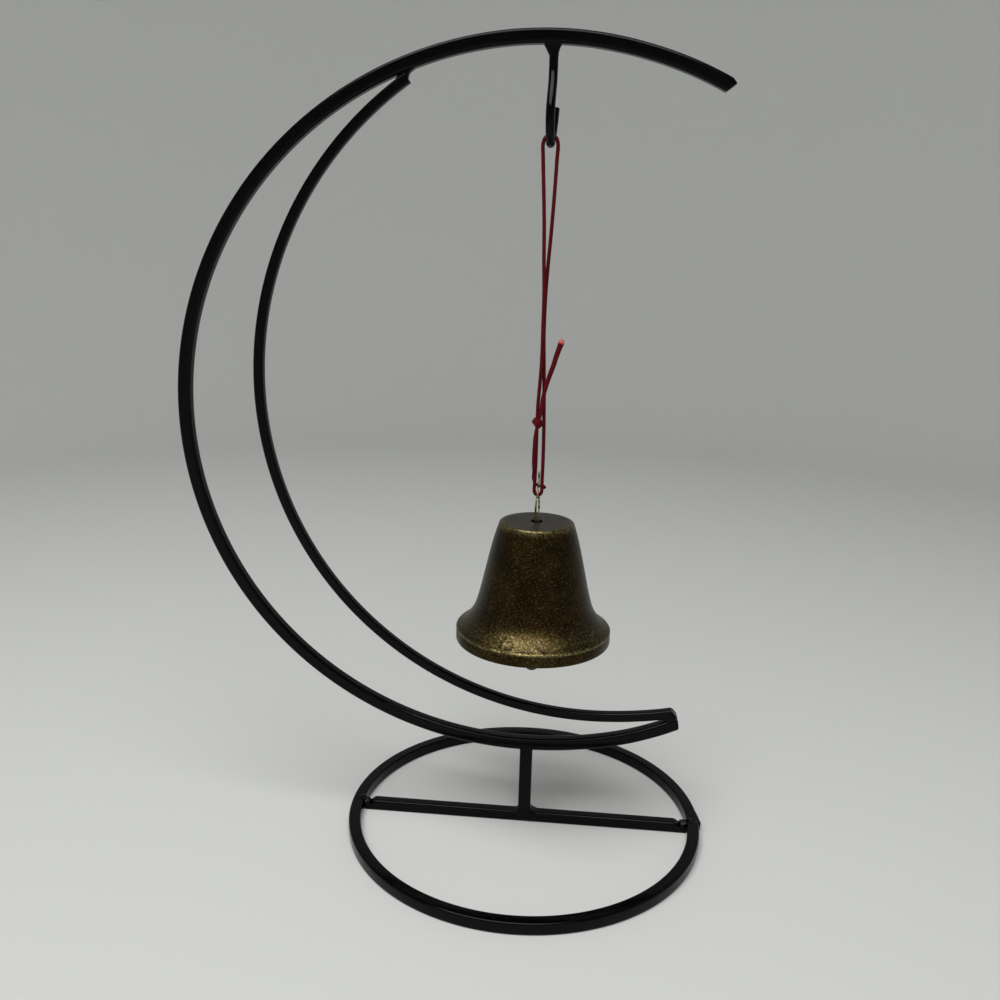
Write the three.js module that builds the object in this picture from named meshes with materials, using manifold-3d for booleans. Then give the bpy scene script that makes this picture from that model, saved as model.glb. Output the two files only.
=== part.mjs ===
// Table-top crescent stand of welded square bar, with a small bell hung from it on a knotted cord.
// Millimetres, +Z up, +X to the open side of the crescent, +Y to the back.
// The origin is the centre of the base ring at the surface that the stand rests on.

import * as THREE from 'three';
import { mergeVertices } from 'three/addons/utils/BufferGeometryUtils.js';
import Module from 'manifold-3d';

const wasm = await Module();
wasm.setup();

// Clearances
const WELD_GAP = 0.3;
const LOOP_GAP = 0.3;

// Base ring, the bar across it and the short post
const RING_RADIUS = 70;
const RING_SIDE = 4.8;
const RING_CORNER = 0.75;
const CROSS_BAR_SIDE = 4.4;
const CROSS_BAR_CORNER = 0.7;
const POST_SIDE = 5;
const POST_CORNER = 0.8;
const POST_X = 0.3;
const POST_LENGTH = 28.4;

// Outer arc of the crescent, an ellipse that is nearly round, measured to the middle of the bar
const OUTER_SIDE = 5;
const OUTER_CORNER = 1.5;
const OUTER_CENTRE_X = -0.7;
const OUTER_HALF_WIDTH = 136.3;
const OUTER_HALF_HEIGHT = 133.6;
const OUTER_TIP_DEGREES = 61.9;
const OUTER_FOOT_DEGREES = 297.6;
const OUTER_FOOT_X = 61;
const TIP_RIDGE_DEPTH = 1.2;
const TIP_TOP_BACK = 2.3;
const TIP_BOTTOM_BACK = 1.8;

// Inner arc, whose ends lie against the outer one: how much smaller it is and how far its centre is moved
const INNER_SIDE = 3.8;
const INNER_CORNER = 1;
const INNER_NARROWER = 3.3;
const INNER_LOWER = 2.2;
const INNER_OFFSET_X = 26.4;
const INNER_OFFSET_Z = 11.6;
const INNER_HEAD_RUN = 5;
const INNER_FOOT_RUN = 2.9;

// Weld metal: half widths of the lumps along X, Y and Z, then the cone at the hook and the webs in the slot
const BAR_BEAD = [3, 2.7, 1.5];
const RING_SPUR = [1.7, 2.6, 2];
const POST_FOOT_WELD = [5.4, 1.9, 3.4];
const POST_HEAD_WELD = [4.6, 4.2, 2.2];
const SPUR_BACK = 0.9;
const COLLAR_RADIUS = 3.3;
const COLLAR_HEIGHT = 3;
const COLLAR_EDGE = 0.3;
const COLLAR_WAIST = 0.7;
const COLLAR_SIDES = 20;
const WEB_DEPTH = 3.4;
const WEB_HEIGHT = 2.4;
const WEB_MOUTH = 1.1;
const WEB_REACH = 0.6;
const WEB_LOW = 1.1;

// Hook of round rod, whose bend is given as pairs of a share of its reach and a height above its lowest point
const HANG_X = 1.2;
const HOOK_ROD = 3.2;
const HOOK_DROP = 32.2;
const HOOK_FRONT = 6;
const HOOK_BACK = 6.8;
const HOOK_TIP_LEAN = 0.95;
const HOOK_FRONT_BEND = [[0, 27.4], [0, 23.4], [0.3, 19], [0.82, 13.6], [1, 8.6], [0.74, 2.9], [0, 0]];
const HOOK_BACK_BEND = [[0.64, 2.2], [0.93, 6.6], [1, 12.2]];

// Cord
const CORD_DIAMETER = 1.4;
const KNOT_CENTRE = [0, -0.8, 168.6];
const KNOT_RADII = [1.75, 1.55, 2.15];

// Hanger wire, from the eye round the cord to the loop below the crown
const WIRE = 0.8;
const STUB_WIRE = 0.7;
const STUB_LENGTH = 7.4;
const EYE_HEIGHT = 11.9;
const LEG_SPREAD = 0.58;
const LOWER_LOOP_RADIUS = 2.5;

// Bell shell, a turned shape; its curves' handles are given as radius and height above the foot
const BELL_HEIGHT = 48.2;
const CROWN_RADIUS = 14.7;
const CROWN_CORNER = 1.3;
const CROWN_HOLE_RADIUS = 1.9;
const SHOULDER_HANDLE = [18.2, 37.1];
const WAIST_HANDLE = [20.1, 24];
const WAIST_RADIUS = 22.5;
const WAIST_HEIGHT = 16;
const FLARE_HANDLE = [24.4, 9];
const LIP_RADIUS = 30.6;
const LIP_BAND = 4.6;
const LIP_ROUND = 0.8;
const BELL_WALL = 1.4;

// Clapper
const CLAPPER_LENGTH = 52.4;
const BALL_CLEARANCE = 14.3;
const CLAPPER_WIRE = 0.8;
const BALL_RADIUS = 3.2;
const BALL_SOCKET_DEPTH = 2.2;

// Facets
const ARC_STEP_DEGREES = 4;
const RING_SEGMENTS = 90;
const BELL_SEGMENTS = 56;
const CURVE_STEPS = 6;
const BALL_STEPS = 10;
const BALL_SIDES = 24;
const LUMP_SIDES = 14;
const HOOK_SIDES = 12;
const WIRE_SIDES = 8;
const ROUTE_STEPS = 3;
const CORD_STEPS = 2;
const CORD_SIDES = 8;

// Places that follow from the sizes
const outerCentreZ = CROSS_BAR_SIDE + POST_LENGTH + OUTER_SIDE / 2 + OUTER_HALF_HEIGHT;
const innerCentreX = OUTER_CENTRE_X + INNER_OFFSET_X;
const innerCentreZ = outerCentreZ + INNER_OFFSET_Z;
const outerArc = { x: OUTER_CENTRE_X, z: outerCentreZ, a: OUTER_HALF_WIDTH, c: OUTER_HALF_HEIGHT };
const innerArc = {
  x: innerCentreX,
  z: innerCentreZ,
  a: OUTER_HALF_WIDTH - INNER_NARROWER,
  c: OUTER_HALF_HEIGHT - INNER_LOWER,
};
const hookRootZ = outerCentreZ + edgeRise(outerArc, -OUTER_SIDE / 2, HANG_X);
const hookBottomZ = hookRootZ - HOOK_DROP;
const ballZ = innerArc.z - edgeRise(innerArc, -INNER_SIDE / 2, HANG_X) + BALL_CLEARANCE + BALL_RADIUS;
const clapperPivotZ = ballZ + CLAPPER_LENGTH;
const lowerLoopZ = clapperPivotZ + LOWER_LOOP_RADIUS;
const loopReach = LOWER_LOOP_RADIUS + WIRE / 2 + LOOP_GAP;
const crownUnderZ = lowerLoopZ + Math.sqrt(loopReach ** 2 - CROWN_HOLE_RADIUS ** 2);
const crownZ = crownUnderZ + BELL_WALL;
const eyeTopZ = crownZ + EYE_HEIGHT;

const BLACK_PAINT = { color: 0x131313, roughness: 0.3, metalness: 0.2 };
const ANTIQUE_BRASS = { color: 0x5b4c2a, roughness: 0.45, metalness: 0.9 };
const PLAIN_BRASS = { color: 0xa89a68, roughness: 0.3, metalness: 1 };
const RED_CORD = { color: 0x7d1020, roughness: 0.8, metalness: 0 };
const DARK_STEEL = { color: 0x4b4c4d, roughness: 0.35, metalness: 1 };

// Height of an ellipse's edge above its centre at a given x, for an edge that lies beyond the centreline
function edgeRise(arc, beyond, x) {
  const across = (x - arc.x) / (arc.a + beyond);
  return (arc.c + beyond) * Math.sqrt(1 - across ** 2);
}

// Turn about the inner arc's centre that a length along it takes
function degreesAlong(length) {
  return THREE.MathUtils.radToDeg(length / innerArc.a);
}

function arcPoint(arc, degrees, beyond = 0) {
  const angle = THREE.MathUtils.degToRad(degrees);
  const x = arc.x + (arc.a + beyond) * Math.cos(angle);
  const z = arc.z + (arc.c + beyond) * Math.sin(angle);
  return new THREE.Vector3(x, 0, z);
}

// Angle at which the slot between the two arcs has narrowed to a given width, found by halving
function narrowDegrees(width, low, high) {
  const inside = OUTER_SIDE / 2 + width;
  const reach = (degrees) => {
    const point = arcPoint(innerArc, degrees, INNER_SIDE / 2);
    const across = (point.x - outerArc.x) / (outerArc.a - inside);
    const up = (point.z - outerArc.z) / (outerArc.c - inside);
    return across ** 2 + up ** 2 - 1;
  };
  let free = low;
  let past = high;
  for (let round = 0; round < 40; round += 1) {
    const middle = (free + past) / 2;
    if (reach(middle) < 0) {
      free = middle;
    } else {
      past = middle;
    }
  }
  return free;
}

// A square with round corners, each corner drawn with three points
function squareSection(side, corner) {
  const points = [];
  const inset = side / 2 - corner;
  for (let turn = 0; turn < 4; turn += 1) {
    const start = turn * 90;
    const centreAngle = THREE.MathUtils.degToRad(start + 45);
    const centreX = Math.sign(Math.cos(centreAngle)) * inset;
    const centreY = Math.sign(Math.sin(centreAngle)) * inset;
    for (const extra of [0, 45, 90]) {
      const angle = THREE.MathUtils.degToRad(start + extra);
      points.push(new THREE.Vector2(centreX + corner * Math.cos(angle), centreY + corner * Math.sin(angle)));
    }
  }
  return points;
}

function roundSection(diameter, sides) {
  const points = [];
  for (let side = 0; side < sides; side += 1) {
    const angle = (2 * Math.PI * side) / sides;
    points.push(new THREE.Vector2((diameter / 2) * Math.cos(angle), (diameter / 2) * Math.sin(angle)));
  }
  return points;
}

function sweep(section, path, steps) {
  return new THREE.ExtrudeGeometry(new THREE.Shape(section), { steps, extrudePath: path });
}

// A path along an ellipse in the plane of the crescent
class ArcPath extends THREE.Curve {
  constructor(arc, startDegrees, endDegrees) {
    super();
    this.arc = arc;
    this.startDegrees = startDegrees;
    this.endDegrees = endDegrees;
  }

  getPoint(share, target = new THREE.Vector3()) {
    const degrees = this.startDegrees + (this.endDegrees - this.startDegrees) * share;
    return target.copy(arcPoint(this.arc, degrees));
  }
}

function sweepArc(arc, startDegrees, endDegrees, side, corner) {
  const steps = Math.ceil((endDegrees - startDegrees) / ARC_STEP_DEGREES);
  return sweep(squareSection(side, corner), new ArcPath(arc, startDegrees, endDegrees), steps);
}

// A smooth route through listed points, with as many steps between any two, so close points make a fine bend
class Route extends THREE.CatmullRomCurve3 {
  constructor(points) {
    super(points.map((point) => new THREE.Vector3(...point)), false, 'centripetal');
  }

  getUtoTmapping(share) {
    return share;
  }
}

function tube(points, diameter, sides, stepsBetween) {
  const section = roundSection(diameter, sides);
  return sweep(section, new Route(points), stepsBetween * (points.length - 1));
}

function toSolid(geometry) {
  const bare = geometry.clone();
  bare.deleteAttribute('normal');
  bare.deleteAttribute('uv');
  const merged = mergeVertices(bare, 1e-4);
  const vertProperties = new Float32Array(merged.attributes.position.array);
  const triVerts = new Uint32Array(merged.index.array);
  return new wasm.Manifold(new wasm.Mesh({ numProp: 3, vertProperties, triVerts }));
}

function toGeometry(solid) {
  const result = solid.getMesh();
  const geometry = new THREE.BufferGeometry();
  geometry.setAttribute('position', new THREE.BufferAttribute(new Float32Array(result.vertProperties), 3));
  geometry.setIndex(new THREE.BufferAttribute(new Uint32Array(result.triVerts), 1));
  geometry.computeVertexNormals();
  return geometry;
}

function cut(geometry, ...cutters) {
  return toGeometry(cutters.reduce((solid, cutter) => solid.subtract(toSolid(cutter)), toSolid(geometry)));
}

function join(first, second) {
  return toGeometry(toSolid(first).add(toSolid(second)));
}

function block(width, depth, height, x, y, z) {
  return new THREE.BoxGeometry(width, depth, height).translate(x, y, z);
}

// A closed outline in the crescent's plane, drawn as x and z pairs and given a depth across that plane
function plate(outline, depth) {
  const shape = new THREE.Shape(outline.map(([x, z]) => new THREE.Vector2(x, z)));
  const geometry = new THREE.ExtrudeGeometry(shape, { depth, bevelEnabled: false });
  return geometry.rotateX(Math.PI / 2).translate(0, depth / 2, 0);
}

function lump(x, y, z, halfWidths) {
  return new THREE.SphereGeometry(1, LUMP_SIDES, LUMP_SIDES - 4).scale(...halfWidths).translate(x, y, z);
}

function turned(profile, segments) {
  return new THREE.LatheGeometry(profile, segments).rotateX(Math.PI / 2);
}

function addMesh(group, name, geometry, look) {
  const mesh = new THREE.Mesh(geometry, new THREE.MeshStandardMaterial(look));
  mesh.name = name;
  group.add(mesh);
  return mesh;
}

// Bars with an allowance all round, used as they are or as cutters for the weld metal
function ringBar(allowance = 0) {
  const section = squareSection(RING_SIDE + 2 * allowance, RING_CORNER);
  const profile = section.map((point) => new THREE.Vector2(RING_RADIUS + point.x, point.y));
  profile.push(profile[0].clone());
  return turned(profile, RING_SEGMENTS).translate(0, 0, RING_SIDE / 2);
}

function crossBar(allowance = 0) {
  const halfSpan = RING_RADIUS - RING_SIDE / 2 - WELD_GAP + allowance;
  const path = new THREE.LineCurve3(new THREE.Vector3(-halfSpan, 0, 0), new THREE.Vector3(halfSpan, 0, 0));
  const bar = sweep(squareSection(CROSS_BAR_SIDE + 2 * allowance, CROSS_BAR_CORNER), path, 1);
  return bar.translate(0, 0, CROSS_BAR_SIDE / 2);
}

function postBar(allowance = 0) {
  const top = outerCentreZ - edgeRise(outerArc, OUTER_SIDE / 2, POST_X) - WELD_GAP;
  const path = new THREE.LineCurve3(
    new THREE.Vector3(POST_X, 0, CROSS_BAR_SIDE - allowance),
    new THREE.Vector3(POST_X, 0, top + allowance),
  );
  return sweep(squareSection(POST_SIDE + 2 * allowance, POST_CORNER), path, 1);
}

function outerBar(allowance = 0) {
  const side = OUTER_SIDE + 2 * allowance;
  return sweepArc(outerArc, OUTER_TIP_DEGREES, OUTER_FOOT_DEGREES, side, OUTER_CORNER);
}

const SLOT_MIDDLE = 180;
const SLOT_HEAD = 90;
const SLOT_FOOT = 320;
const headMeeting = narrowDegrees(WELD_GAP, SLOT_MIDDLE, SLOT_HEAD);
const footMeeting = narrowDegrees(WELD_GAP, SLOT_MIDDLE, SLOT_FOOT);

// The inner bar runs on past both meetings, and its ends are coped to the outer arc
function innerBar(allowance = 0) {
  const head = headMeeting - degreesAlong(INNER_HEAD_RUN + allowance);
  const foot = footMeeting + degreesAlong(INNER_FOOT_RUN + allowance);
  return sweepArc(innerArc, head, foot, INNER_SIDE + 2 * allowance, INNER_CORNER);
}

// The hook's bend lies front to back, and its tip leans a little to the open side
function hookRod() {
  const tipRise = HOOK_BACK_BEND.at(-1)[1];
  const front = HOOK_FRONT_BEND.map(([share, rise]) => [HANG_X, -share * HOOK_FRONT, hookBottomZ + rise]);
  const back = HOOK_BACK_BEND.map(([share, rise]) => {
    const lean = (HOOK_TIP_LEAN * rise) / tipRise;
    return [HANG_X + lean, share * HOOK_BACK, hookBottomZ + rise];
  });
  const path = [[HANG_X, 0, hookRootZ - WELD_GAP], ...front, ...back];
  return tube(path, HOOK_ROD, HOOK_SIDES, ROUTE_STEPS);
}

// The sheared upper end: two slanting cuts that leave a ridge near the outer edge
function tipCutters() {
  const ridge = arcPoint(outerArc, OUTER_TIP_DEGREES, OUTER_SIDE / 2 - TIP_RIDGE_DEPTH);
  const beyond = arcPoint(outerArc, OUTER_TIP_DEGREES, 1);
  const outward = beyond.sub(arcPoint(outerArc, OUTER_TIP_DEGREES)).normalize();
  const forward = new THREE.Vector3(outward.z, 0, -outward.x);
  const place = (ahead, out) => {
    const point = ridge.clone().addScaledVector(forward, ahead).addScaledVector(outward, out);
    return [point.x, point.z];
  };
  const topSlope = TIP_TOP_BACK / TIP_RIDGE_DEPTH;
  const bottomSlope = TIP_BOTTOM_BACK / (OUTER_SIDE - TIP_RIDGE_DEPTH);
  const far = 3 * OUTER_SIDE;
  const depth = 2 * OUTER_SIDE;
  const top = [place(0, 0), place(far, -1), place(far, far), place(-topSlope * far, far)];
  const bottom = [place(0, 0), place(-bottomSlope * far, -far), place(far, -far), place(far, 0)];
  return [plate(top, depth), plate(bottom, depth)];
}

// Stand
const stand = new THREE.Group();
addMesh(stand, 'base_ring', ringBar(), BLACK_PAINT);
addMesh(stand, 'cross_bar', crossBar(), BLACK_PAINT);
addMesh(stand, 'post', postBar(), BLACK_PAINT);

const trimSide = 12 * OUTER_SIDE;
const footZ = arcPoint(outerArc, OUTER_FOOT_DEGREES).z;
const footTrim = block(trimSide, trimSide, trimSide, OUTER_FOOT_X + trimSide / 2, 0, footZ);
addMesh(stand, 'outer_arc', cut(outerBar(), ...tipCutters(), footTrim), BLACK_PAINT);
addMesh(stand, 'inner_arc', cut(innerBar(), outerBar(WELD_GAP)), BLACK_PAINT);
addMesh(stand, 'hook', hookRod(), BLACK_PAINT);

// Beads where the bar across meets the ring
for (const [name, side] of [['weld_bar_left', -1], ['weld_bar_right', 1]]) {
  const x = side * (RING_RADIUS - RING_SIDE / 2);
  const bead = lump(x, 0, CROSS_BAR_SIDE, BAR_BEAD);
  addMesh(stand, name, cut(bead, ringBar(WELD_GAP), crossBar(WELD_GAP)), BLACK_PAINT);
}

// Butt joint of the ring, where one end stands out past the other as a low spur
const spur = lump(RING_RADIUS + RING_SIDE / 2, SPUR_BACK, RING_SIDE / 2, RING_SPUR);
addMesh(stand, 'weld_ring_butt', cut(spur, ringBar(WELD_GAP)), BLACK_PAINT);

// Flare of weld metal down the front of the bar at the foot of the post
const postFlare = lump(POST_X, -POST_SIDE / 2, CROSS_BAR_SIDE, POST_FOOT_WELD);
addMesh(stand, 'weld_post_foot', cut(postFlare, crossBar(WELD_GAP), postBar(WELD_GAP)), BLACK_PAINT);

// Collar of weld metal round the head of the post
const postTopZ = outerCentreZ - edgeRise(outerArc, OUTER_SIDE / 2, POST_X);
const postCollar = lump(POST_X, 0, postTopZ, POST_HEAD_WELD);
const postHoleSide = POST_SIDE + 2 * WELD_GAP;
const postHole = block(postHoleSide, postHoleSide, 4 * POST_SIDE, POST_X, 0, postTopZ);
addMesh(stand, 'weld_post_head', cut(postCollar, outerBar(WELD_GAP), postHole), BLACK_PAINT);

// Cone of weld metal round the root of the hook
const collarBore = HOOK_ROD / 2 + WELD_GAP;
const collarProfile = [
  [collarBore, 0],
  [collarBore + COLLAR_EDGE, 0],
  [collarBore + COLLAR_WAIST, COLLAR_HEIGHT / 2],
  [COLLAR_RADIUS, COLLAR_HEIGHT],
  [COLLAR_RADIUS, COLLAR_HEIGHT + OUTER_SIDE / 2],
  [collarBore, COLLAR_HEIGHT + OUTER_SIDE / 2],
  [collarBore, 0],
].map(([radius, height]) => new THREE.Vector2(radius, height));
const collar = turned(collarProfile, COLLAR_SIDES).translate(HANG_X, 0, hookRootZ - COLLAR_HEIGHT);
addMesh(stand, 'weld_hook', cut(collar, outerBar(WELD_GAP)), BLACK_PAINT);

// Webs of weld metal in the narrow ends of the crescent, from the slot's mouth width to past the meeting
function web(meeting, farEnd) {
  const start = narrowDegrees(WEB_MOUTH, SLOT_MIDDLE, farEnd);
  const end = meeting + Math.sign(farEnd - SLOT_MIDDLE) * degreesAlong(WEB_REACH);
  const high = INNER_SIDE / 2 + WEB_HEIGHT;
  const corners = [[start, WEB_LOW], [end, WEB_LOW], [end, high], [start, high]];
  const outline = corners.map(([degrees, beyond]) => {
    const point = arcPoint(innerArc, degrees, beyond);
    return [point.x, point.z];
  });
  return cut(plate(outline, WEB_DEPTH), outerBar(WELD_GAP), innerBar(WELD_GAP));
}
addMesh(stand, 'weld_inner_head', web(headMeeting, SLOT_HEAD), BLACK_PAINT);
addMesh(stand, 'weld_inner_foot', web(footMeeting, SLOT_FOOT), BLACK_PAINT);

// Cord: up from the knot, over the hook, down to the eye, round its wire and up to the knot again
const cordLoop = [
  [0.02, -0.8, 171.1],
  [0.1, -0.85, 175.7],
  [0.45, -0.9, 182],
  [0.8, -0.9, 189],
  [0.93, -0.9, 196],
  [0.9, -0.9, 203],
  [0.85, -0.9, 216],
  [0.35, -0.7, 228],
  [-0.05, -0.5, 241],
  [-0.75, -0.2, 254],
  [-1.25, 0, 263],
  [-1.4, 0, 267.8],
  [-0.64, 0, 269.64],
  [1.2, 0, 270.4],
  [3.04, 0, 269.64],
  [3.8, 0, 267.8],
  [3.65, 0.1, 262],
  [3.2, 0.3, 250],
  [2.55, 0.6, 237],
  [1.8, 0.85, 225],
  [1.38, 0.9, 216],
  [1.25, 0.9, 203],
  [1.45, 0.9, 196],
  [1.75, 0.9, 189],
  [2.2, 0.9, 177],
  [2.55, 0.85, 165.5],
  [2.7, 0.4, 154],
  [2.65, 0.1, 146],
  [2.6, 0, 141.6],
  [2.19, 0, 140.61],
  [1.2, 0, 140.2],
  [0.21, 0, 140.61],
  [-0.2, 0, 141.6],
  [-0.12, -0.05, 146],
  [0, -0.3, 153.4],
  [-0.03, -0.6, 160],
  [-0.02, -0.8, 166.1],
];
const cord = new THREE.Group();
addMesh(cord, 'cord_loop', tube(cordLoop, CORD_DIAMETER, CORD_SIDES, CORD_STEPS), RED_CORD);

const knot = addMesh(cord, 'cord_knot', new THREE.SphereGeometry(1, 16, 12), RED_CORD);
knot.scale.set(...KNOT_RADII);
knot.position.set(...KNOT_CENTRE);

// The two ends of the cord: one stands up to the right, one lies down the left strand and round the back
const tailUp = [
  [1.4, -1.8, 170.8],
  [1.5, -1.85, 174],
  [1.8, -1.7, 177.1],
  [2.65, -1.6, 181.4],
  [4.2, -1.6, 186.7],
  [5.4, -1.55, 190.3],
  [6.1, -1.5, 193.2],
  [7.8, -1.5, 198.6],
];
addMesh(cord, 'cord_tail_up', tube(tailUp, CORD_DIAMETER, CORD_SIDES, CORD_STEPS), RED_CORD);

const tailDown = [
  [-0.2, -2.45, 166.4],
  [-0.4, -2.3, 163.5],
  [-0.65, -2.1, 160],
  [-0.75, -1.85, 156],
  [-0.75, -1.75, 153],
  [-0.9, -1.55, 150.6],
  [-1.75, -0.4, 148],
  [-1.65, 0.7, 146.3],
  [-0.8, 1.75, 144.6],
  [0.6, 2.05, 143.6],
  [2.2, 2.1, 143.1],
  [3.5, 1.9, 143],
];
addMesh(cord, 'cord_tail_down', tube(tailDown, CORD_DIAMETER, CORD_SIDES, CORD_STEPS), RED_CORD);

// Hanger wire: one wire bent to an eye round the cord, two legs through the crown and a loop below it
function hangerRoute() {
  const bend = CORD_DIAMETER / 2 + LOOP_GAP + WIRE / 2;
  const eyeZ = eyeTopZ - bend;
  const arch = [180, 135, 90, 45, 0].map((degrees) => {
    const angle = THREE.MathUtils.degToRad(degrees);
    return [HANG_X, bend * Math.cos(angle), eyeZ + bend * Math.sin(angle)];
  });
  const loop = [38, 10, -20, -55, -90, -125, -160, -190, -220, -248].map((degrees) => {
    const angle = THREE.MathUtils.degToRad(degrees);
    const x = HANG_X + LOWER_LOOP_RADIUS * Math.cos(angle);
    return [x, 0, lowerLoopZ + LOWER_LOOP_RADIUS * Math.sin(angle)];
  });
  const closing = THREE.MathUtils.degToRad(60);
  return [
    ...loop,
    [HANG_X - LEG_SPREAD, 0, crownUnderZ + 0.5 * BELL_WALL],
    [HANG_X - LEG_SPREAD, -0.15, crownZ + 2.6],
    [HANG_X - 0.7 * LEG_SPREAD, -0.9, eyeZ - 3.9],
    [HANG_X - 0.2 * LEG_SPREAD, -bend, eyeZ - 1.2],
    ...arch,
    [HANG_X + 0.2 * LEG_SPREAD, bend, eyeZ - 1.2],
    [HANG_X + 0.7 * LEG_SPREAD, 0.9, eyeZ - 3.9],
    [HANG_X + LEG_SPREAD, 0.15, crownZ + 2.6],
    [HANG_X + LEG_SPREAD, 0, crownUnderZ + 0.5 * BELL_WALL],
    [
      HANG_X + LOWER_LOOP_RADIUS * Math.cos(closing),
      0,
      lowerLoopZ + LOWER_LOOP_RADIUS * Math.sin(closing),
    ],
  ];
}
const stub = new THREE.CylinderGeometry(STUB_WIRE / 2, STUB_WIRE / 2, STUB_LENGTH, 8).rotateX(Math.PI / 2);
stub.translate(HANG_X, 0, eyeTopZ + STUB_LENGTH / 2);
const bentWire = tube(hangerRoute(), WIRE, WIRE_SIDES, ROUTE_STEPS);
const hanger = new THREE.Group();
addMesh(hanger, 'hanger_wire', join(bentWire, stub), PLAIN_BRASS);

// Bell shell: the outside drawn from the crown's hole to the lip, the inside a wall's thickness away
function bellProfile() {
  const at = (radius, height) => new THREE.Vector2(radius, height - BELL_HEIGHT);
  const shoulder = at(CROWN_RADIUS, BELL_HEIGHT - CROWN_CORNER);
  const waist = at(WAIST_RADIUS, WAIST_HEIGHT);
  const lipTop = at(LIP_RADIUS - LIP_ROUND / 2, LIP_BAND + LIP_ROUND);
  const corner = [90, 60, 30].map((degrees) => {
    const angle = THREE.MathUtils.degToRad(degrees);
    const radius = CROWN_RADIUS - CROWN_CORNER * (1 - Math.cos(angle));
    return at(radius, BELL_HEIGHT - CROWN_CORNER * (1 - Math.sin(angle)));
  });
  const side = new THREE.CubicBezierCurve(shoulder, at(...SHOULDER_HANDLE), at(...WAIST_HANDLE), waist);
  const flare = new THREE.QuadraticBezierCurve(waist, at(...FLARE_HANDLE), lipTop);
  const outside = [
    at(CROWN_HOLE_RADIUS, BELL_HEIGHT),
    ...corner,
    ...side.getPoints(CURVE_STEPS),
    ...flare.getPoints(CURVE_STEPS).slice(1),
    at(LIP_RADIUS, LIP_BAND),
    at(LIP_RADIUS, LIP_ROUND),
    at(LIP_RADIUS - LIP_ROUND, 0),
  ];
  const inside = outside.slice(1, -1).map((point, index) => {
    const along = outside[index + 2].clone().sub(outside[index]).normalize();
    return new THREE.Vector2(point.x + along.y * BELL_WALL, point.y - along.x * BELL_WALL);
  });
  inside.unshift(new THREE.Vector2(CROWN_HOLE_RADIUS, -BELL_WALL));
  inside.pop();
  inside.push(new THREE.Vector2(LIP_RADIUS - BELL_WALL, -BELL_HEIGHT));
  return [...outside, ...inside.reverse(), outside[0].clone()];
}
const bell = new THREE.Group();
const shell = addMesh(bell, 'bell_shell', turned(bellProfile().reverse(), BELL_SEGMENTS), ANTIQUE_BRASS);
shell.position.set(HANG_X, 0, crownZ);

// Clapper: a wire with an eye round the hanger's lower loop, and a ball on its lower end
const clapperEye = WIRE / 2 + LOOP_GAP + CLAPPER_WIRE / 2;
const socketBottomZ = BALL_RADIUS - BALL_SOCKET_DEPTH;
const clapperRoute = [
  ...[-42, -10, 25, 60, 95, 130, 165, 200, 235].map((degrees) => {
    const angle = THREE.MathUtils.degToRad(degrees);
    return [0, clapperEye * Math.cos(angle), clapperEye * Math.sin(angle)];
  }),
  [0, 0, -2 * clapperEye],
  [0, 0, -5 * clapperEye],
  [0, 0, -0.5 * CLAPPER_LENGTH],
  [0, 0, socketBottomZ + LOOP_GAP - CLAPPER_LENGTH],
];
const clapper = new THREE.Group();
clapper.position.set(HANG_X, 0, clapperPivotZ);
addMesh(clapper, 'clapper_wire', tube(clapperRoute, CLAPPER_WIRE, WIRE_SIDES, ROUTE_STEPS), PLAIN_BRASS);

const socketRadius = CLAPPER_WIRE / 2 + LOOP_GAP;
const ballProfile = [new THREE.Vector2(0, -BALL_RADIUS)];
const socketMouth = Math.asin(socketRadius / BALL_RADIUS);
for (let step = 1; step <= BALL_STEPS; step += 1) {
  const angle = -Math.PI / 2 + ((Math.PI - socketMouth) * step) / BALL_STEPS;
  ballProfile.push(new THREE.Vector2(BALL_RADIUS * Math.cos(angle), BALL_RADIUS * Math.sin(angle)));
}
ballProfile.push(new THREE.Vector2(socketRadius, socketBottomZ));
ballProfile.push(new THREE.Vector2(0, socketBottomZ));
const ball = addMesh(clapper, 'clapper_ball', turned(ballProfile, BALL_SIDES), DARK_STEEL);
ball.position.set(0, 0, ballZ - clapperPivotZ);

const ornament = new THREE.Group();
ornament.add(stand, cord, hanger, bell, clapper);

export default ornament;
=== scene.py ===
"""The bell on its crescent stand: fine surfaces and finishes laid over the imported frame.

Lengths in this file are millimetres in the part's own frame, +Z up and +X to the crescent's open side.
They become metres only where a mesh is made.
"""

import logging
import math
from dataclasses import dataclass, field
from enum import Enum

import bmesh
import bpy
import numpy as np
from mathutils import Matrix, Vector


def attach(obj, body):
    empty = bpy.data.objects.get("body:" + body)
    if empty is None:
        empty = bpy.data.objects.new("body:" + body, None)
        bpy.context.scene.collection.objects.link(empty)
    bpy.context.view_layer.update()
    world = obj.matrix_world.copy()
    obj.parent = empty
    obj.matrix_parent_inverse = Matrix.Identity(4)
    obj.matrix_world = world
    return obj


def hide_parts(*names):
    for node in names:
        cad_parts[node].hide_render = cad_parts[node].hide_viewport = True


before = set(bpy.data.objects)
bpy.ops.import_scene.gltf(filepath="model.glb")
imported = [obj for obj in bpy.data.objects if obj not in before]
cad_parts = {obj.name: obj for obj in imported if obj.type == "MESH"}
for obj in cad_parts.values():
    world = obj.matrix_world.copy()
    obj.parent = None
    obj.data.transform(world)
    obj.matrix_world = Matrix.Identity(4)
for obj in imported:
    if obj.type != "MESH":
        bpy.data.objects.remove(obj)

Tree, Socket = bpy.types.NodeTree, bpy.types.NodeSocket
Material, Object = bpy.types.Material, bpy.types.Object
Pair = tuple[float, float]
Point = tuple[float, float, float]
LOG = logging.getLogger("crescent_bell")
MM = 0.001

# Where most of a noise's values lie.
NOISE_BAND = {"From Min": 0.3, "From Max": 0.7}
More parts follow.
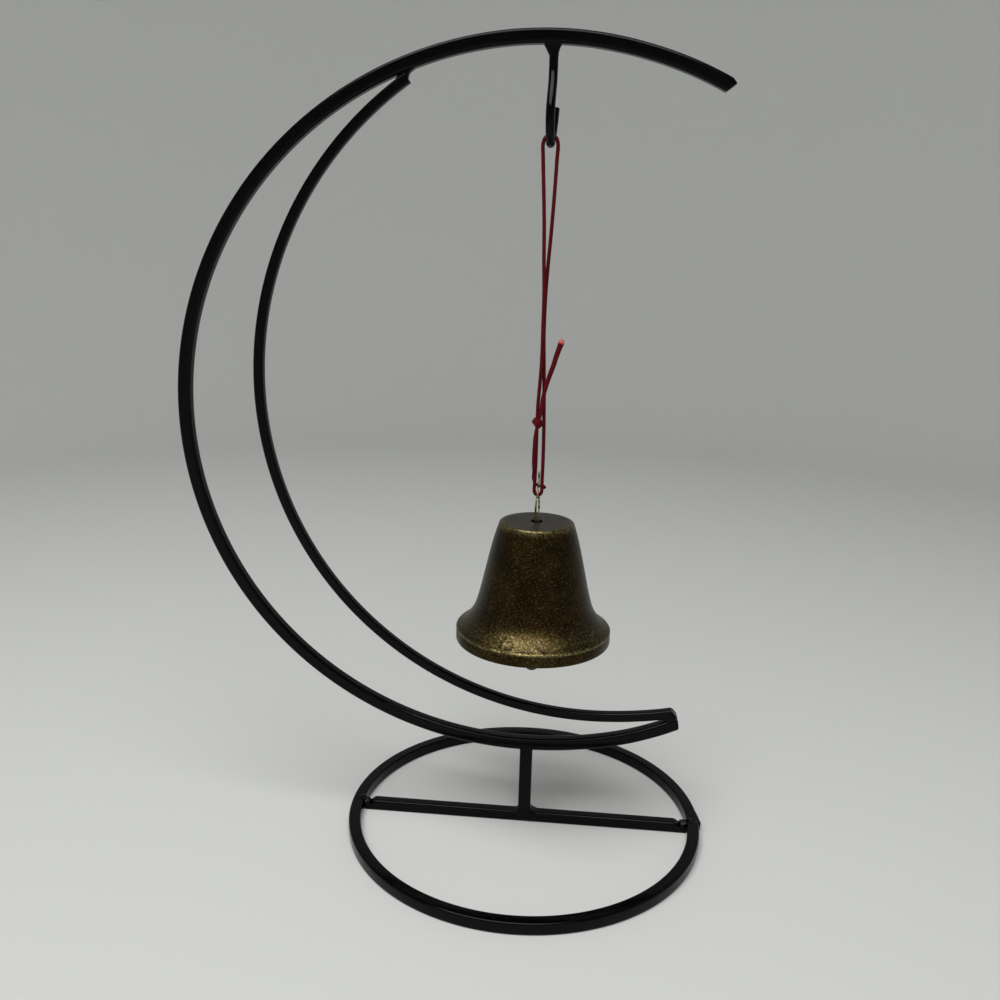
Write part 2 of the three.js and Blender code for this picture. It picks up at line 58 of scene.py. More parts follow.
# Rows in each domed end of a rod, and samples in each span of a route.
CAP_ROWS = 6
SPAN_STEPS = 60
# How far the rows that close a bar's end lie on their way to the closing line, and how wide that line is.
END_STEPS = (0.09, 0.4, 0.75, 1.0)
END_WIDTH = 0.92


class Body(Enum):
    """The rigid bodies that pieces ride on."""

    STAND = "stand"
    CORD = "cord"
    HANGER = "hanger"
    BELL = "bell"
    CLAPPER = "clapper"


class Slot(Enum):
    """The record's material slots."""

    PAINT = "black_paint"
    PATINA = "antique_brass"
    WIRE = "brass_wire"
    CORD = "red_cord"
    STEEL = "dark_steel"


# Colour and node helpers


def linear(hex_colour: str) -> tuple[float, float, float, float]:
    """Turn an sRGB hex colour into linear red, green, blue and an alpha of one."""
    parts = [int(hex_colour[i:i + 2], 16) / 255 for i in (1, 3, 5)]
    light = [c / 12.92 if c <= 0.04045 else ((c + 0.055) / 1.055) ** 2.4 for c in parts]
    return (light[0], light[1], light[2], 1.0)


def add_node(tree: Tree, kind: str, sockets: dict[str | int, object] | None = None,
             **settings: object) -> bpy.types.Node:
    """Add one node with its settings, socket values and links.

    Args:
        tree: The node tree to add to.
        kind: Blender's name for the node type, less its prefix.
        sockets: Inputs by name or number: a value, a hex colour, an output to link, or a node, whose
            first live output is linked.
        settings: Properties of the node itself; stops gives a colour ramp's positions and hex colours.

    Returns:
        The new node.
    """
    node = tree.nodes.new("ShaderNode" + kind)
    for name, value in settings.items():
        if name != "stops":
            setattr(node, name, value)
            continue
        elements = node.color_ramp.elements
        while len(elements) < len(value):
            elements.new(0.5)
        for element, (position, colour) in zip(elements, value):
            element.position, element.color = position, linear(colour)
    for key, value in (sockets or {}).items():
        socket = node.inputs[key] if isinstance(key, int) else next(
            s for s in node.inputs if s.name == key and s.enabled)
        if isinstance(value, bpy.types.Node):
            value = next(s for s in value.outputs if s.enabled)
        if isinstance(value, Socket):
            tree.links.new(value, socket)
        else:
            socket.default_value = linear(value) if isinstance(value, str) else value
    return node


def per_metre(size_mm: float) -> float:
    """Give the noise scale whose features are about this many millimetres across."""
    return 1.0 / (size_mm * MM)


# Finishes


@dataclass(frozen=True)
class Finish:
    """What every finish shares: a title and one Principled shader, whose sockets it fills."""

    title: str

    def sockets(self, tree: Tree, place: Socket) -> dict[str, object]:
        """Build the finish's patterns.

        Args:
            tree: The material's node tree.
            place: Object coordinates in metres.

        Returns:
            What goes into each of the shader's sockets.
        """
        raise NotImplementedError

    def material(self) -> Material:
        """Make the material round its one Principled shader."""
        material = bpy.data.materials.new(self.title)
        material.use_nodes = True
        tree = material.node_tree
        tree.nodes.clear()
        place = add_node(tree, "TexCoord").outputs["Object"]
        shader = add_node(tree, "BsdfPrincipled", self.sockets(tree, place))
        add_node(tree, "OutputMaterial", {"Surface": shader})
        return material


@dataclass(frozen=True)
class GlossEnamel(Finish):
    """Black enamel sprayed on mild steel and baked: near black face on, paler at low angles.

    Its film has a soft orange peel, draws a bright line along each rounded edge and holds a little dust.
    """

    title: str = "baked_black_enamel_sprayed"
    black: str = "#010101"
    dusty: str = "#151514"
    roughness: float = 0.16
    peel_mm: float = 1.3
    dust_mm: float = 0.3
    cloud_mm: float = 9.0

    def sockets(self, tree: Tree, place: Socket) -> dict[str, object]:
        """Fill the sockets of a smooth dielectric film with dust in it and peel in its bump."""
        dust, cloud, peel = (
            add_node(tree, "TexNoise", {"Vector": place, "Scale": per_metre(size), "Detail": detail})
            for size, detail in ((self.dust_mm, 3.0), (self.cloud_mm, 4.0), (self.peel_mm, 2.0)))
        specks = add_node(tree, "ValToRGB", {"Fac": dust},
                          stops=[(0.0, self.black), (0.64, self.black), (0.78, self.dusty)])
        rough = add_node(tree, "MapRange", {
            "Value": cloud, **NOISE_BAND, "To Min": self.roughness - 0.05, "To Max": self.roughness + 0.06})
        bump = add_node(tree, "Bump", {"Strength": 0.16, "Distance": 0.06 * MM, "Height": peel})
        return {"Base Color": specks, "Roughness": rough, "Normal": bump, "Specular IOR Level": 0.12}


@dataclass(frozen=True)
class AntiquedBrass(Finish):
    """Brass-plated bell blackened, rubbed back and lacquered: dark brown film with bright metal grains.

    The grains are closer together where polishing reaches, on the shoulder and the skirt, which the
    mesh gives as a point attribute; that attribute also lays a painted highlight on the crown's edge,
    the lip's edge, the skirt's top and the blister. The lacquer mirrors what stands on the crown.
    """

    title: str = "antiqued_brass_rubbed_back_and_lacquered"
    film: str = "#1c1202"
    film_warm: str = "#2b1c04"
    metal: str = "#8e8258"
    metal_dull: str = "#50472a"
    grain_mm: float = 0.3
    fleck_mm: float = 0.9
    patch_mm: float = 8.0
    # How much rubbing with its painted highlight and the film's clouds add to the grain,
    # and the sums where metal starts and is bare.
    rub_highlight_share: float = 0.26
    patch_share: float = 0.07
    cover: Pair = (0.57, 0.77)

    def sockets(self, tree: Tree, place: Socket) -> dict[str, object]:
        """Fill the sockets from fine grains and sparse flecks over a clouded film."""
        # Rubbed-back wear and painted highlight together: the crown's edge, the lip's edge, the skirt's top
        # and the blister.
        rubbed = add_node(tree, "Attribute", attribute_name="rubbed").outputs["Fac"]
        grain, fleck, patch = (
            add_node(tree, "TexNoise", {
                "Vector": place, "Scale": per_metre(size), "Detail": detail, "Roughness": fineness})
            for size, detail, fineness in (
                (self.grain_mm, 2.0, 0.7), (self.fleck_mm, 3.0, 0.5), (self.patch_mm, 3.0, 0.5)))
        film = add_node(tree, "ValToRGB", {"Fac": patch},
                        stops=[(0.3, self.film), (0.7, self.film_warm)])
        bright = add_node(tree, "ValToRGB", {"Fac": fleck},
                          stops=[(0.42, self.metal_dull), (0.62, self.metal)])
        lift = add_node(tree, "Math", {0: rubbed, 1: self.rub_highlight_share, 2: grain}, operation="MULTIPLY_ADD")
        cloud = add_node(tree, "Math", {0: patch, 1: self.patch_share, 2: lift}, operation="MULTIPLY_ADD")
        cover = add_node(tree, "MapRange", {
            "Value": cloud, "From Min": self.cover[0], "From Max": self.cover[1]})
        colour = add_node(tree, "Mix", {"Factor": cover, "A": film, "B": bright}, data_type="RGBA")
        rough = add_node(tree, "MapRange", {
            "Value": fleck, **NOISE_BAND, "To Min": 0.34, "To Max": 0.46})
        bump = add_node(tree, "Bump", {"Strength": 0.4, "Distance": 0.05 * MM, "Height": grain})
        return {"Base Color": colour, "Metallic": 1.0, "Roughness": rough, "Normal": bump,
                "Coat Weight": 0.07, "Coat Roughness": 0.2, "Coat IOR": 1.45}


@dataclass(frozen=True)
class SpottedFinish(Finish):
    """What three finishes share: one noise whose spots change the colour, the gloss and the relief.

    The noise turns from the low colour to the high one between two of its values. The relief is the
    bump's strength and its depth in millimetres.
    """

    low: str
    high: str
    between: Pair
    spot_mm: float
    detail: float = 4.0
    metallic: float = 1.0
    roughness: Pair = (0.35, 0.35)
    relief: Pair = (0.0, 0.0)

    def sockets(self, tree: Tree, place: Socket) -> dict[str, object]:
        """Fill the sockets from the spots; a gloss or a relief that doesn't vary needs no node."""
        spots = add_node(tree, "TexNoise", {
            "Vector": place, "Scale": per_metre(self.spot_mm), "Detail": self.detail})
        stops = list(zip(self.between, (self.low, self.high)))
        found = {"Base Color": add_node(tree, "ValToRGB", {"Fac": spots}, stops=stops),
                 "Metallic": self.metallic, "Roughness": self.roughness[0]}
        if self.roughness[0] != self.roughness[1]:
            found["Roughness"] = add_node(tree, "MapRange", {
                "Value": spots, **NOISE_BAND, "To Min": self.roughness[0], "To Max": self.roughness[1]})
        if self.relief[0]:
            found["Normal"] = add_node(tree, "Bump", {
                "Strength": self.relief[0], "Distance": self.relief[1] * MM, "Height": spots})
        return found


@dataclass(frozen=True)
class DrawnWire(SpottedFinish):
    """Brass wire drawn through a die and handled: grey-gold metal with dull spots."""

    title: str = "drawn_brass_wire"
    low: str = "#55503a"
    high: str = "#d4cca2"
    between: Pair = (0.4, 0.62)
    spot_mm: float = 1.5
    roughness: Pair = (0.42, 0.22)
    relief: Pair = (0.2, 0.02)


@dataclass(frozen=True)
class TumbledSteel(SpottedFinish):
    """A tumbled steel ball, dark grey with a dull shine and clouds of tarnish."""

    title: str = "tumbled_dark_steel"
    low: str = "#2a2b2d"
    high: str = "#5a5c5e"
    between: Pair = (0.35, 0.65)
    spot_mm: float = 1.6
    roughness: Pair = (0.28, 0.45)


@dataclass(frozen=True)
class MeltedNylon(SpottedFinish):
    """The cord's end sealed with a flame: a glossy, translucent red drop, paler where it blistered."""

    title: str = "nylon_end_melted_with_a_flame"
    low: str = "#a40c14"
    high: str = "#d0605c"
    between: Pair = (0.45, 0.68)
    spot_mm: float = 0.8
    detail: float = 3.0
    metallic: float = 0.0
    relief: Pair = (0.4, 0.1)

    def sockets(self, tree: Tree, place: Socket) -> dict[str, object]:
        """Add the light that scatters inside the drop."""
        return {**super().sockets(tree, place), "Subsurface Weight": 0.15, "Subsurface Scale": 0.4 * MM}


@dataclass(frozen=True)
class BraidedNylon(Finish):
    """Round nylon knotting cord, braided from fine filaments and dyed deep crimson.

    Each strand has a painted highlight on its crown and painted shade, nearly black, where it dips
    under the next. The piece's UV map counts turns round the cord in U and braid repeats along it in V.
    """

    title: str = "braided_nylon_cord_dyed_crimson"
    # Painted shade where strands dip under each other; the red takes the painted highlight on their crowns.
    dip_shade: str = "#1f0104"
    red: str = "#6f0612"
    strands: int = 4

    def sockets(self, tree: Tree, place: Socket) -> dict[str, object]:
        """Fill the sockets from two crossing sets of strands."""
        turns = add_node(tree, "UVMap", uv_map="braid")
        split = add_node(tree, "SeparateXYZ", {"Vector": turns})
        waves = []
        for lean in (1.0, -1.0):
            lay = add_node(tree, "Math", {
                0: split.outputs["Y"], 1: lean * 2 * math.pi}, operation="MULTIPLY")
            angle = add_node(tree, "Math", {
                0: split.outputs["X"], 1: self.strands * 2 * math.pi, 2: lay}, operation="MULTIPLY_ADD")
            waves.append(add_node(tree, "Math", {0: angle}, operation="SINE"))
        weave = add_node(tree, "Math", {0: waves[0], 1: waves[1]}, operation="MULTIPLY")
        crown = add_node(tree, "MapRange", {"Value": weave, "From Min": -0.8, "From Max": 0.8})
        # Painted shade and highlight: nearly black in the braid's dips, red on the strands' crowns.
        colour = add_node(tree, "ValToRGB", {"Fac": crown},
                          stops=[(0.15, self.dip_shade), (0.95, self.red)])
        bump = add_node(tree, "Bump", {"Strength": 0.5, "Distance": 0.05 * MM, "Height": crown})
        return {"Base Color": colour, "Normal": bump, "Roughness": 0.62, "Specular IOR Level": 0.12}


@dataclass(frozen=True)
class MattCard(Finish):
    """Sheet of matt paper card, rolled smooth: pale grey with no shine."""

    title: str = "matt_pale_card"
    grey: str = "#d0d1cf"

    def sockets(self, tree: Tree, place: Socket) -> dict[str, object]:
        """Fill the sockets of plain card."""
        return {"Base Color": self.grey, "Roughness": 0.95, "Specular IOR Level": 0.1}


# Surfaces


@dataclass
class Surface:
    """A grid of points: rows run along the piece and columns run round it.

    The columns always close on themselves. The rows either close too or end in a seam,
    where the last row has been drawn together to a line or a point.
    """

    points: np.ndarray
    looped: bool = False
    uv_scale: Pair = (1.0, 1.0)
    attributes: dict[str, np.ndarray] = field(default_factory=dict)

    def faces(self) -> np.ndarray:
        """Give the four vertex numbers of each quad between neighbouring rows and columns."""
        rows, columns = self.points.shape[:2]
        row = np.arange(rows if self.looped else rows - 1)[:, None]
        column = np.arange(columns)[None, :]
        below, right = (row + 1) % rows, (column + 1) % columns
        corners = [row * columns + column, row * columns + right,
                   below * columns + right, below * columns + column]
        return np.stack([np.broadcast_to(c, (row.size, column.size)) for c in corners], -1).reshape(-1, 4)

    def corner_uv(self) -> np.ndarray:
        """Give each quad corner its place: columns in turns and rows in steps, both scaled."""
        rows, columns = self.points.shape[:2]
        steps = np.arange(rows if self.looped else rows - 1)
        row, column = np.meshgrid(steps, np.arange(columns), indexing="ij")
        across = np.stack([column, column + 1, column + 1, column], -1) / columns * self.uv_scale[0]
        along = np.stack([row, row, row + 1, row + 1], -1) * self.uv_scale[1]
        return np.stack([across, along], -1).reshape(-1, 2)


def circle(columns: int) -> np.ndarray:
    """Give a unit circle as (columns, 2): cosine and sine pairs."""
    angle = np.linspace(0, 2 * np.pi, columns, endpoint=False)
    return np.stack([np.cos(angle), np.sin(angle)], -1)


def soft_square(columns: int, corner: float) -> np.ndarray:
    """Give a square of half side one whose corners are quarter circles.

    Each point is the corner circle's centre, at one less the corner radius, plus the radius times
    the direction; the directions are spread over the four corners and the flats join them.

    Args:
        columns: How many points go round it, a multiple of four.
        corner: The corner radius as a share of the half side.

    Returns:
        An array of (columns, 2).
    """
    per_corner = columns // 4
    turn = np.repeat(np.arange(4), per_corner) * np.pi / 2
    within = np.tile(np.linspace(0, np.pi / 2, per_corner), 4)
    centre = np.sign(np.stack([np.cos(turn + np.pi / 4), np.sin(turn + np.pi / 4)], -1)) * (1 - corner)
    return centre + corner * np.stack([np.cos(turn + within), np.sin(turn + within)], -1)


def unit(vectors: np.ndarray) -> np.ndarray:
    """Scale vectors to length one."""
    return vectors / np.linalg.norm(vectors, axis=-1, keepdims=True)


def about_y(degrees: float) -> np.ndarray:
    """Give the matrix that turns points about the Y axis, from +Z towards +X."""
    cos, sin = math.cos(math.radians(degrees)), math.sin(math.radians(degrees))
    return np.array([[cos, 0, sin], [0, 1, 0], [-sin, 0, cos]])


def cross_axes(path: np.ndarray, reference: Point) -> tuple[np.ndarray, np.ndarray, np.ndarray]:
    """Find two directions square to a path at each of its points.

    The tangent is the path's central difference. The second direction is the reference less its share
    along the tangent, and the first is the cross product of the second with the tangent.

    Args:
        path: Points along the path, (rows, 3).
        reference: A direction that the path never follows.

    Returns:
        The tangents, the first directions and the second ones.
    """
    tangent = unit(np.gradient(path, axis=0))
    fixed = np.asarray(reference, float)
    second = unit(fixed - (tangent @ fixed)[:, None] * tangent)
    return tangent, np.cross(second, tangent), second


def loft(centres: np.ndarray, first: np.ndarray, second: np.ndarray, section: np.ndarray) -> np.ndarray:
    """Lay a unit section (s, t) across every centre: point = centre + s * first + t * second."""
    s, t = section[None, :, 0, None], section[None, :, 1, None]
    return centres[:, None, :] + s * first[:, None, :] + t * second[:, None, :]


def seamed(grid: np.ndarray, lines: tuple[Pair | None, ...] = (None, None),
           bevel: float = 0.2) -> np.ndarray:
    """Close both ends of a bar flat, with a small bevel round each.

    The end row first steps back along the bar by the bevel. Then four rows move its points from the cut
    towards a line along Y, whose x and z are given or are the row's mean.

    Args:
        grid: The grid to close, (rows, columns, 3).
        lines: The closing line's x and z at the first and the last row, or None.
        bevel: How far the end's edge is eased, in millimetres.

    Returns:
        The grid with four more rows at each end.
    """
    def closing(row: np.ndarray, inner: np.ndarray, line: Pair | None) -> np.ndarray:
        """Give one end's rows, from the eased edge to the closing line."""
        target = row * np.array([0.0, END_WIDTH, 0.0])
        target[:, [0, 2]] = row[:, [0, 2]].mean(0) if line is None else line
        share = np.array(END_STEPS)[:, None, None]
        eased = row + unit(inner - row) * bevel
        return np.concatenate([eased[None], row[None] + share * (target - row)[None]])

    head = closing(grid[0], grid[1], lines[0])[::-1]
    return np.concatenate([head, grid[1:-1], closing(grid[-1], grid[-2], lines[1])])


def revolved(profile: np.ndarray, centre: Pair, columns: int) -> np.ndarray:
    """Turn a profile about an upright axis: point = (cx + r cos a, cy + r sin a, z).

    Args:
        profile: Radius and height pairs, (rows, 2).
        centre: The axis's x and y.
        columns: How many points go round.

    Returns:
        A grid of points, (rows, columns, 3).
    """
    round_ = circle(columns)
    flat = profile[:, None, 0, None] * round_[None]
    height = np.broadcast_to(profile[:, None, 1, None], (*flat.shape[:2], 1))
    return np.concatenate([flat + np.asarray(centre), height], -1)


def upright(z: np.ndarray, left: np.ndarray, right: np.ndarray, depth: np.ndarray, x: float,
            section: np.ndarray, bevel: float = 0.2) -> Surface:
    """Stand a section up: at each height its centre is x + (right - left) / 2 and its half width their mean.

    Args:
        z: The heights.
        left: How far it reaches to the left of x at each height.
        right: The same to the right.
        depth: Half its depth at each height.
        x: Where it stands.
        section: Unit outline as (columns, 2).
        bevel: How far the ends' edges are eased.

    Returns:
        The closed bar.
    """
    zero = np.zeros_like(z)
    centres = np.stack([x + (right - left) / 2, zero, z], -1)
    first = np.stack([(left + right) / 2, zero, zero], -1)
    second = np.stack([zero, depth, zero], -1)
    return Surface(seamed(loft(centres, first, second, section), bevel=bevel))


def smooth_route(points: list[Point], step: float) -> np.ndarray:
    """Draw a centripetal Catmull-Rom curve through points and even out its steps.

    Between two points the curve is the cubic whose end slopes come from the neighbours, with knots
    spaced by the square root of the distances. The end neighbours are mirrored.

    Args:
        points: The route's points.
        step: The distance wanted between rows, in millimetres.

    Returns:
        Points along the route, (rows, 3).
    """
    p = np.asarray(points, float)
    p = np.concatenate([[2 * p[0] - p[1]], p, [2 * p[-1] - p[-2]]])
    knot = np.sqrt(np.linalg.norm(np.diff(p, axis=0), axis=1))
    before, here, after = knot[:-2, None], knot[1:-1, None], knot[2:, None]
    chord = (p[2:-1] - p[1:-2]) / here
    leave = here * ((p[1:-2] - p[:-3]) / before - (p[2:-1] - p[:-3]) / (before + here) + chord)
    arrive = here * (chord - (p[3:] - p[1:-2]) / (here + after) + (p[3:] - p[2:-1]) / after)
    t = np.linspace(0, 1, SPAN_STEPS, endpoint=False)[None, :, None]
    a, b = p[1:-2, None], p[2:-1, None]
    leave, arrive = leave[:, None], arrive[:, None]
    curve = (a + leave * t + (3 * (b - a) - 2 * leave - arrive) * t ** 2
             + (2 * (a - b) + leave + arrive) * t ** 3)
    curve = np.concatenate([curve.reshape(-1, 3), p[-2:-1]])
    length = np.concatenate([[0], np.cumsum(np.linalg.norm(np.diff(curve, axis=0), axis=1))])
    even = np.linspace(0, length[-1], max(8, int(length[-1] / step)))
    return np.stack([np.interp(even, length, curve[:, k]) for k in range(3)], -1)


def rounded_rod(route: np.ndarray, radius: float | np.ndarray, reference: Point,
                columns: int = 24, dome: float = 0.5) -> np.ndarray:
    """Carry a circle along a route and close both ends with shallow domes.

    The radius near an end shrinks as the square root of one less the squared share of the dome,
    while the rows move out by that share of the dome's height.

    Args:
        route: Centreline points.
        radius: One radius, or one for each row.
        reference: A direction that the route never follows.
        columns: Points round the rod.
        dome: The domes' height as a share of the radius.

    Returns:
        A grid that starts and ends in a point.
    """
    tangent, first, second = cross_axes(route, reference)
    size = np.broadcast_to(np.asarray(radius, float), (len(route),))
    share = np.sin(np.linspace(0, np.pi / 2, CAP_ROWS + 1))[1:]
    shrink = np.sqrt(np.clip(1 - share ** 2, 0, None))
    head = route[0] - tangent[0] * (share * dome * size[0])[:, None]
    tail = route[-1] + tangent[-1] * (share * dome * size[-1])[:, None]
    centres = np.concatenate([head[::-1], route, tail])
    sizes = np.concatenate([(shrink * size[0])[::-1], size, shrink * size[-1]])[:, None]
    near = np.clip(np.arange(-CAP_ROWS, len(route) + CAP_ROWS), 0, len(route) - 1)
    return loft(centres, first[near] * sizes, second[near] * sizes, circle(columns))


def blob(centre: Point, radii: Point, ripple: float = 0.0, turn: float = 0.0, columns: int = 36) -> Surface:
    """Make a closed ellipsoid whose radius has a soft ripple, as cooled weld metal has.

    Args:
        centre: Its middle.
        radii: Half widths along its own three axes.
        ripple: The ripple's share of the radius.
        turn: Turn about the Y axis in degrees.
        columns: Points round it.

    Returns:
        The surface, from pole to pole.
    """
    rise = np.linspace(-np.pi / 2, np.pi / 2, columns // 2 + 1)[:, None]
    round_ = np.linspace(0, 2 * np.pi, columns, endpoint=False)[None, :]
    wave = 1 + ripple * np.sin(3 * round_ + 1.3) * np.cos(rise) * np.cos(4 * rise + 0.6)
    grid = np.stack([np.cos(rise) * np.cos(round_) * wave, np.cos(rise) * np.sin(round_) * wave,
                     np.sin(rise) * wave * np.ones_like(round_)], -1) * np.asarray(radii)
    return Surface(grid @ about_y(turn).T + np.asarray(centre))


def pad(outline: tuple[Pair, ...], middle: Pair, depth: float, y: float = 0.0) -> Surface:
    """Swell a flat outline in the stand's plane into a closed cushion of weld metal.

    With a from -90 to 90 degrees, the outline is drawn towards the middle by cos a to the power 0.4, and
    y is the centre's plus the depth times the signed sin a to the power 0.7.

    Args:
        outline: Corner points as x and z; the curve through them closes on itself.
        middle: A point that sees the whole outline.
        depth: Half the cushion's thickness.
        y: The cushion's middle plane.

    Returns:
        The surface, from pole to pole.
    """
    ring = smooth_route([(x, 0.0, z) for x, z in (*outline, outline[0])], 0.25)[:-1]
    centre = np.array([middle[0], 0.0, middle[1]])
    angle = np.linspace(-np.pi / 2, np.pi / 2, 27)[:, None, None]
    grid = centre + (ring - centre)[None] * np.clip(np.cos(angle), 0, None) ** 0.4
    lift = depth * np.sign(angle) * np.abs(np.sin(angle)) ** 0.7
    grid[..., 1] = y + lift[..., 0]
    return Surface(grid)


def make_piece(name: str, surfaces: list[Surface], finish: Material, body: Body,
               nodes: tuple[str, ...] = (), crease: float = 50.0) -> Object:
    """Turn surfaces into one mesh object, merge its seams and set what it stands for.

    Args:
        name: The piece's name.
        surfaces: The closed surfaces that it is made of.
        finish: Its material.
        body: The body it rides on.
        nodes: The CAD nodes that it replaces.
        crease: Edges sharper than this many degrees stay sharp.

    Returns:
        The finished object.
    """
    starts = np.cumsum([0] + [s.points.shape[0] * s.points.shape[1] for s in surfaces])
    vertices = np.concatenate([s.points.reshape(-1, 3) for s in surfaces]) * MM
    faces = np.concatenate([s.faces() + start for s, start in zip(surfaces, starts)])
    mesh = bpy.data.meshes.new(name)
    mesh.from_pydata(vertices.tolist(), [], faces.tolist())
    layer = mesh.uv_layers.new(name="braid")
    turns = np.concatenate([s.corner_uv() for s in surfaces]).astype(np.float32)
    layer.data.foreach_set("uv", turns.ravel())
    for attribute in sorted({key for s in surfaces for key in s.attributes}):
        values = [s.attributes.get(attribute, np.zeros(s.points.shape[:2])).ravel() for s in surfaces]
        target = mesh.attributes.new(attribute, "FLOAT", "POINT")
        target.data.foreach_set("value", np.concatenate(values).astype(np.float32))
    work = bmesh.new()
    work.from_mesh(mesh)
    bmesh.ops.remove_doubles(work, verts=work.verts, dist=0.004 * MM)
    bmesh.ops.dissolve_degenerate(work, edges=work.edges, dist=0.001 * MM)
    bmesh.ops.recalc_face_normals(work, faces=work.faces)
    work.to_mesh(mesh)
    work.free()
    mesh.shade_smooth()
    mesh.set_sharp_from_angle(angle=math.radians(crease))
    mesh.materials.append(finish)
    piece = bpy.data.objects.new(name, mesh)
    bpy.context.scene.collection.objects.link(piece)
    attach(piece, body.value)
    if nodes:
        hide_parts(*nodes)
    LOG.info("%s: %d faces on %s", name, len(mesh.polygons), body.value)
    return piece


# The parts of the ornament


@dataclass
class PhotoCamera:
    """The photograph's viewpoint: a phone held a little above the bell and tipped down."""

    place: Point = (18.02, -359.25, 228.30)
    heading: float = -4.989
    tip_down: float = 14.146
    roll: float = 1.523
    focal_px: float = 961.68
    frame_px: float = 1000.0
    sensor_mm: float = 36.0

    def build(self) -> Object:
        """Make the scene's camera from its heading, tip and roll."""
        heading, tip, roll = (math.radians(v) for v in (self.heading, self.tip_down, self.roll))
        ahead = Vector((math.sin(heading) * math.cos(tip), math.cos(heading) * math.cos(tip),
                        -math.sin(tip)))
        level = Vector((math.cos(heading), -math.sin(heading), 0.0))
        above = level.cross(ahead)
        right = math.cos(roll) * level + math.sin(roll) * above
        up = -math.sin(roll) * level + math.cos(roll) * above
        data = bpy.data.cameras.new("photo_camera")
        data.sensor_width = self.sensor_mm
        data.lens = self.focal_px / self.frame_px * self.sensor_mm
        data.clip_start, data.clip_end = 0.01, 20.0
        camera = bpy.data.objects.new("photo_camera", data)
        camera.matrix_world = Matrix.Translation(Vector(self.place) * MM) @ Matrix(
            (right, up, -ahead)).transposed().to_4x4()
        bpy.context.scene.collection.objects.link(camera)
        bpy.context.scene.camera = camera
        return camera


